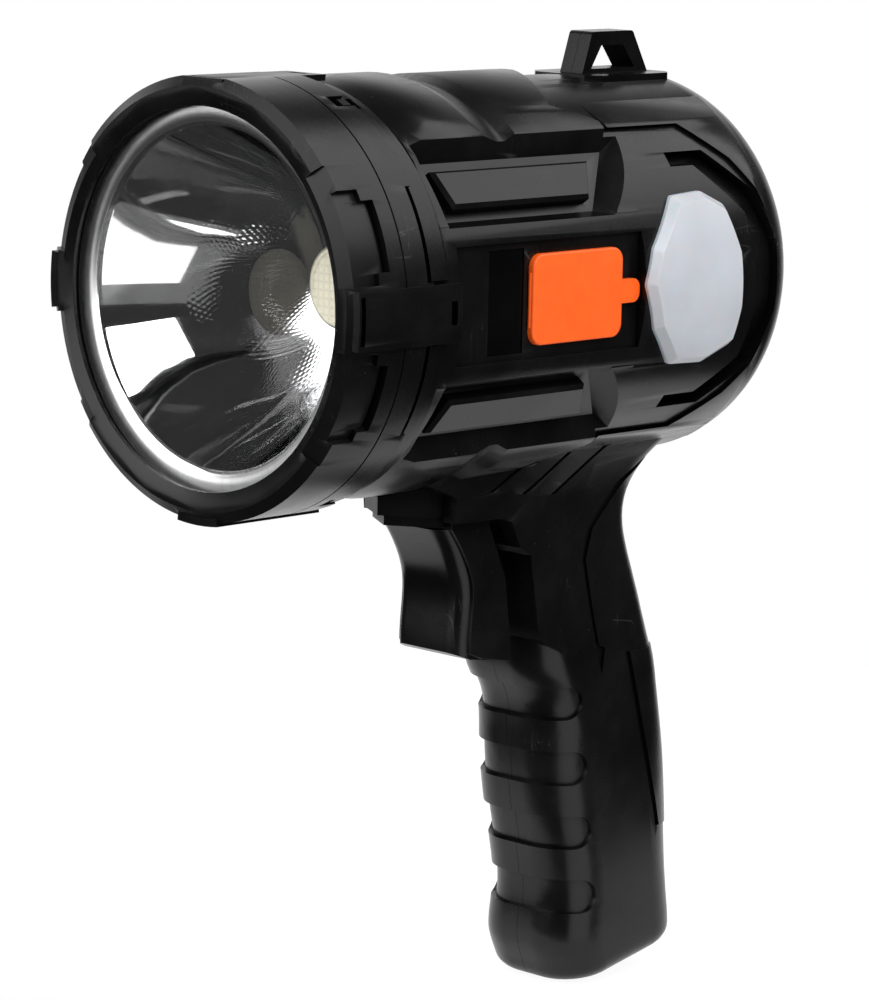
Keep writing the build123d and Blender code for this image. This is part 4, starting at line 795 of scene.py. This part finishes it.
class SEARCHLIGHT_OT_side_lamp(bpy.types.Operator):
    """Milky side lamp with its board and light sources"""

    bl_idname = "searchlight.side_lamp"
    bl_label = "Side lamp"

    def execute(self, context):
        colours = context.scene.searchlight_colours
        piece = welded_copy("side_lamp_diffuser", "diffuser_cap", CAP_ROUND, segments=4)
        set_finish(piece, diffuser_finish("milky diffuser", colours.diffuser_milk))
        settle(piece, "housing", "milky_diffuser", "side_lamp_diffuser")
        dress_node("side_lamp_board", board_mask(
            "white lamp board", (0.76, 0.78, 0.77), (0.68, 0.7, 0.69)))
        packages = phosphor_finish("lamp packages", (0.92, 0.86, 0.55))
        for node in ("side_lamp_leds", "charge_leds"):
            dress_node(node, packages)
        return {"FINISHED"}


class SEARCHLIGHT_OT_ports(bpy.types.Operator):
    """Orange charging cover and the smoked indicator window"""

    bl_idname = "searchlight.ports"
    bl_label = "Charging cover and window"

    def execute(self, context):
        colours = context.scene.searchlight_colours
        cover = welded_copy("usb_cover", "cover_silicone", COVER_ROUND, segments=3)
        set_finish(cover, soft_rubber(
            "orange silicone", colours.cover_orange, rough=0.5, subsurface=0.15))
        settle(cover, "cover", "orange_silicone", "usb_cover")
        dress_node("indicator_window", smoked_finish("smoked window"))
        shell = metal("nickel plated shell", (0.7, 0.7, 0.71))
        for node in ("usb_output_socket", "usb_input_socket"):
            dress_node(node, shell)
        return {"FINISHED"}


class SEARCHLIGHT_OT_trigger(bpy.types.Operator):
    """Trigger, its pin, its spring and the switch behind it"""

    bl_idname = "searchlight.trigger"
    bl_label = "Trigger and switch"

    def execute(self, context):
        sizes = context.scene.searchlight_sizes
        colours = context.scene.searchlight_colours
        black = moulding("trigger moulding", colours.body_black)
        piece = welded_copy("trigger", "trigger_moulding", TRIGGER_ROUND, segments=3)
        set_finish(piece, black)
        settle(piece, "trigger", "black_trigger", "trigger")
        steel = metal("spring steel", (0.6, 0.6, 0.62), rough=(0.18, 0.3))
        dress_node("trigger_pin", steel)
        low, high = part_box("trigger_spring")
        wire = sizes.spring_wire / 2
        radius = (high[0] - low[0]) / 2 - wire
        share = np.linspace(0.0, 1.0, COIL_POINTS * sizes.spring_turns)
        turn = 2 * math.pi * sizes.spring_turns * share
        along = low[1] + wire + (high[1] - low[1] - 2 * wire) * share
        middle_z = (low[2] + high[2]) / 2
        line = np.stack([
            radius * np.cos(turn), along, middle_z + radius * np.sin(turn)], 1)
        spring = tube_piece("trigger_coil", line, wire, COIL_SIDES)
        set_finish(spring, steel)
        settle(spring, "housing", "spring_steel", "trigger_spring")
        dress_node("switch_body", moulding("switch moulding", (0.03, 0.03, 0.032)))
        dress_node("switch_plunger", moulding(
            "red button", (0.5, 0.03, 0.02), rough=(0.25, 0.35), lift=1.2))
        return {"FINISHED"}


class SEARCHLIGHT_OT_electronics(bpy.types.Operator):
    """Control board, its parts and all insulated wires"""

    bl_idname = "searchlight.electronics"
    bl_label = "Board and wires"

    def execute(self, context):
        dress_node("control_board", board_mask(
            "green board", (0.012, 0.12, 0.045), (0.02, 0.2, 0.07)))
        dress_node("control_board_parts", moulding(
            "chip moulding", (0.02, 0.02, 0.022), rough=(0.4, 0.55)))
        red, black = (0.5, 0.02, 0.015), (0.015, 0.015, 0.015)
        white, ochre = (0.75, 0.75, 0.73), (0.6, 0.35, 0.02)
        low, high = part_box("side_lamp_wires")
        dress_node("led_wires", wire_finish("emitter wire insulation", black, red, "Z", AXIS_Z))
        dress_node("side_lamp_wires", wire_finish(
            "side lamp wire insulation", black, white, "Z", (low[2] + high[2]) / 2))
        dress_node("switch_wires", wire_finish("switch wire insulation", white, ochre, "X", 0.0))
        dress_node("battery_wires", wire_finish(
            "battery wire insulation", red, black, "X", BATTERY_WIRE_MIDDLE))
        return {"FINISHED"}


class SEARCHLIGHT_OT_battery(bpy.types.Operator):
    """Wrapped cell, its tray and both contacts"""

    bl_idname = "searchlight.battery"
    bl_label = "Battery"

    def execute(self, context):
        dress_node("battery_cell", cell_finish("shrink wrap"))
        dress_node("battery_tray", moulding("tray moulding", (0.03, 0.03, 0.033)))
        nickel = metal("nickel contact", (0.68, 0.67, 0.63), rough=(0.2, 0.34))
        for node in ("battery_plate_contact", "battery_coil_contact"):
            dress_node(node, nickel)
        return {"FINISHED"}


CAMERA_AZIMUTH = 44.3
CAMERA_ELEVATION = 9.5
CAMERA_ROLL = 1.2
CAMERA_REACH = 0.966
FOCAL_PIXELS = 4300.0
RIM_PIXEL = (196.6, 300.4)
PICTURE = (869.0, 1000.0)
SENSOR_MM = 36.0
FLOOR_RADIUS = 0.24
FLOOR_CENTRE = (-0.135, 0.12)
FLOOR_HOLE = 0.0005
FLOOR_DROP = 0.0005
FLOOR_RINGS = 24
FLOOR_SPOKES = 96
FLOOR_GLOW = 1.08
FLOOR_WHITE = 0.86
ROOM_SHEEN = 0.03
ROOM_FILL = 0.4
BACKDROP_EDGE = (0.75, 0.95)
LIGHT_AIM = (0.0, -0.04, 0.12)
# Each light: name, azimuth and elevation in degrees, distance, width and height, radiance.
SOFT_BOXES = (
    ("left soft box", -18.0, 22.0, 1.3, (1.35, 1.2), 2.7),
    ("right soft box", 82.0, 42.0, 1.2, (0.66, 0.95), 5.8),
    ("low card", 80.0, -27.0, 0.4, (0.3, 0.34), 1.3),
    ("rear soft box", 150.0, 42.0, 1.2, (1.05, 0.85), 1.9),
    ("far side soft box", -98.0, 30.0, 1.3, (0.8, 0.7), 1.5),
)


def heading(azimuth, elevation):
    """Direction from the object: azimuth 0 is ahead of the lens, 90 is to its left side."""
    turn, rise = math.radians(azimuth), math.radians(elevation)
    return Vector((
        math.sin(turn) * math.cos(rise), -math.cos(turn) * math.cos(rise), math.sin(rise)))


def soft_box(name, azimuth, elevation, reach, size, radiance):
    """Rectangular soft light that faces the aim; its power is radiance * pi * area."""
    light = bpy.data.lights.new(name, "AREA")
    light.shape = "RECTANGLE"
    light.size, light.size_y = size
    light.energy = radiance * math.pi * size[0] * size[1]
    thing = add_object(name, light)
    away = heading(azimuth, elevation)
    thing.location = Vector(LIGHT_AIM) + away * reach
    thing.rotation_euler = away.to_track_quat("Z", "Y").to_euler()


class SEARCHLIGHT_OT_stage(bpy.types.Operator):
    """Pale floor, soft lights and the camera at the photograph's angle"""

    bl_idname = "searchlight.stage"
    bl_label = "Stage, lights and camera"

    def execute(self, context):
        context.scene.view_settings.view_transform = "Standard"
        self.place_camera(context)
        self.lay_floor(context)
        self.light_up(context)
        return {"FINISHED"}

    def place_camera(self, context):
        """Camera that shows the middle of the bezel's rim at its pixel in the photograph."""
        turn, roll = math.radians(CAMERA_AZIMUTH), math.radians(CAMERA_ROLL)
        back = heading(CAMERA_AZIMUTH, CAMERA_ELEVATION)
        right = Vector((math.cos(turn), math.sin(turn), 0.0))
        up = back.cross(right)
        right, up = (right * math.cos(roll) + up * math.sin(roll),
                     up * math.cos(roll) - right * math.sin(roll))
        across = (RIM_PIXEL[0] - PICTURE[0] / 2) / FOCAL_PIXELS * CAMERA_REACH
        over = -(RIM_PIXEL[1] - PICTURE[1] / 2) / FOCAL_PIXELS * CAMERA_REACH
        rim = Vector((0.0, FRONT_Y, AXIS_Z))
        data = bpy.data.cameras.new("photo camera")
        data.sensor_width = SENSOR_MM
        data.lens = SENSOR_MM * FOCAL_PIXELS / max(PICTURE)
        data.clip_start, data.clip_end = 0.01, 20.0
        camera = add_object("photo camera", data)
        camera.matrix_world = Matrix((
            (right.x, up.x, back.x, 0), (right.y, up.y, back.y, 0),
            (right.z, up.z, back.z, 0), (0, 0, 0, 1)))
        camera.location = rim + back * CAMERA_REACH - right * across - up * over
        context.scene.camera = camera

    def lay_floor(self, context):
        """Disc of rings and spokes under the lowest point: x = a + r cos t, y = b + r sin t."""
        base = CAD_BOX[0][2] - FLOOR_DROP
        radius = np.linspace(FLOOR_HOLE, FLOOR_RADIUS, FLOOR_RINGS)[:, None]
        turn = np.arange(FLOOR_SPOKES) * (2 * math.pi / FLOOR_SPOKES)
        across = FLOOR_CENTRE[0] + radius * np.cos(turn)
        along = FLOOR_CENTRE[1] + radius * np.sin(turn)
        points = np.stack([across, along, np.full(across.shape, base)], -1).reshape(-1, 3)
        faces = sheet_faces(FLOOR_RINGS, FLOOR_SPOKES, False)[:, ::-1]
        floor = mesh_object("floor", points, faces.tolist())
        floor.data.materials.append(self.floor_finish(context.scene.searchlight_colours.backdrop))

    def floor_finish(self, colour):
        """Pale matt sweep, shown as white where nothing shades it."""
        material, graph, place = finish_start("pale floor")
        tone = graph.noise(place, 3.0, 2.0, 0.5)
        base = graph.mix(tone, rgba(colour), shade(colour, 0.985))
        diffuse = graph.add("ShaderNodeBsdfDiffuse", {"Color": base})
        glow = graph.add("ShaderNodeEmission", {"Color": (1, 1, 1, 1), "Strength": FLOOR_GLOW})
        path = graph.add("ShaderNodeLightPath")
        seen = path.outputs["Is Camera Ray"]
        for kind in ("Is Transmission Ray", "Is Glossy Ray"):
            seen = graph.math("MAXIMUM", seen, path.outputs[kind])
        share = graph.math("MULTIPLY", seen, FLOOR_WHITE)
        mixed = graph.add("ShaderNodeMixShader", {
            0: share, 1: diffuse.outputs[0], 2: glow.outputs[0]})
        finish_end(graph, mixed)
        return material

    def light_up(self, context):
        """White backdrop behind the object, a dim room elsewhere, and soft boxes."""
        world = bpy.data.worlds.new("studio")
        context.scene.world = world
        world.use_nodes = True
        world.node_tree.nodes.clear()
        graph = Graph(world.node_tree)
        path = graph.add("ShaderNodeLightPath")
        way = graph.add("ShaderNodeTexCoord").outputs["Generated"]
        turn = math.radians(CAMERA_AZIMUTH)
        behind = graph.add("ShaderNodeVectorMath", {
            0: way, 1: (-math.sin(turn), math.cos(turn), 0.0)}, operation="DOT_PRODUCT")
        backdrop = graph.range(behind.outputs["Value"], *BACKDROP_EDGE)
        sheen = graph.range(backdrop, 0.0, 1.0, ROOM_SHEEN, 1.0)
        polished = graph.math(
            "MAXIMUM", path.outputs["Is Glossy Ray"], path.outputs["Is Transmission Ray"])
        strength = graph.math("MULTIPLY", polished, sheen)
        matt = graph.math("MULTIPLY", path.outputs["Is Diffuse Ray"], ROOM_FILL)
        strength = graph.math("MAXIMUM", strength, matt)
        strength = graph.math("MAXIMUM", strength, path.outputs["Is Camera Ray"])
        room = graph.add("ShaderNodeBackground", {"Color": (1, 1, 1, 1), "Strength": strength})
        graph.add("ShaderNodeOutputWorld", {"Surface": room.outputs[0]})
        for light in SOFT_BOXES:
            soft_box(*light)


class SEARCHLIGHT_PT_panel(bpy.types.Panel):
    """Sidebar list of the searchlight's pieces"""

    bl_idname = "SEARCHLIGHT_PT_panel"
    bl_label = "Searchlight"
    bl_space_type = "VIEW_3D"
    bl_region_type = "UI"
    bl_category = "Searchlight"

    def draw(self, context):
        scene = context.scene
        for group in (scene.searchlight_sizes, scene.searchlight_colours):
            box = self.layout.box()
            for name in group.__annotations__:
                box.prop(group, name)
        for step in STEPS:
            self.layout.operator(step.bl_idname)


STEPS = (
    SEARCHLIGHT_OT_stage,
    SEARCHLIGHT_OT_housing,
    SEARCHLIGHT_OT_bezel,
    SEARCHLIGHT_OT_optics,
    SEARCHLIGHT_OT_emitter,
    SEARCHLIGHT_OT_side_lamp,
    SEARCHLIGHT_OT_ports,
    SEARCHLIGHT_OT_trigger,
    SEARCHLIGHT_OT_electronics,
    SEARCHLIGHT_OT_battery,
)
CLASSES = (SearchlightSizes, SearchlightColours) + STEPS + (SEARCHLIGHT_PT_panel,)


def register():
    for item in CLASSES:
        bpy.utils.register_class(item)
    bpy.types.Scene.searchlight_sizes = PointerProperty(type=SearchlightSizes)
    bpy.types.Scene.searchlight_colours = PointerProperty(type=SearchlightColours)


def unregister():
    del bpy.types.Scene.searchlight_colours
    del bpy.types.Scene.searchlight_sizes
    for item in reversed(CLASSES):
        bpy.utils.unregister_class(item)


def main():
    register()
    for step in STEPS:
        family, action = step.bl_idname.split(".")
        getattr(getattr(bpy.ops, family), action)()


if __name__ == "__main__":
    main()
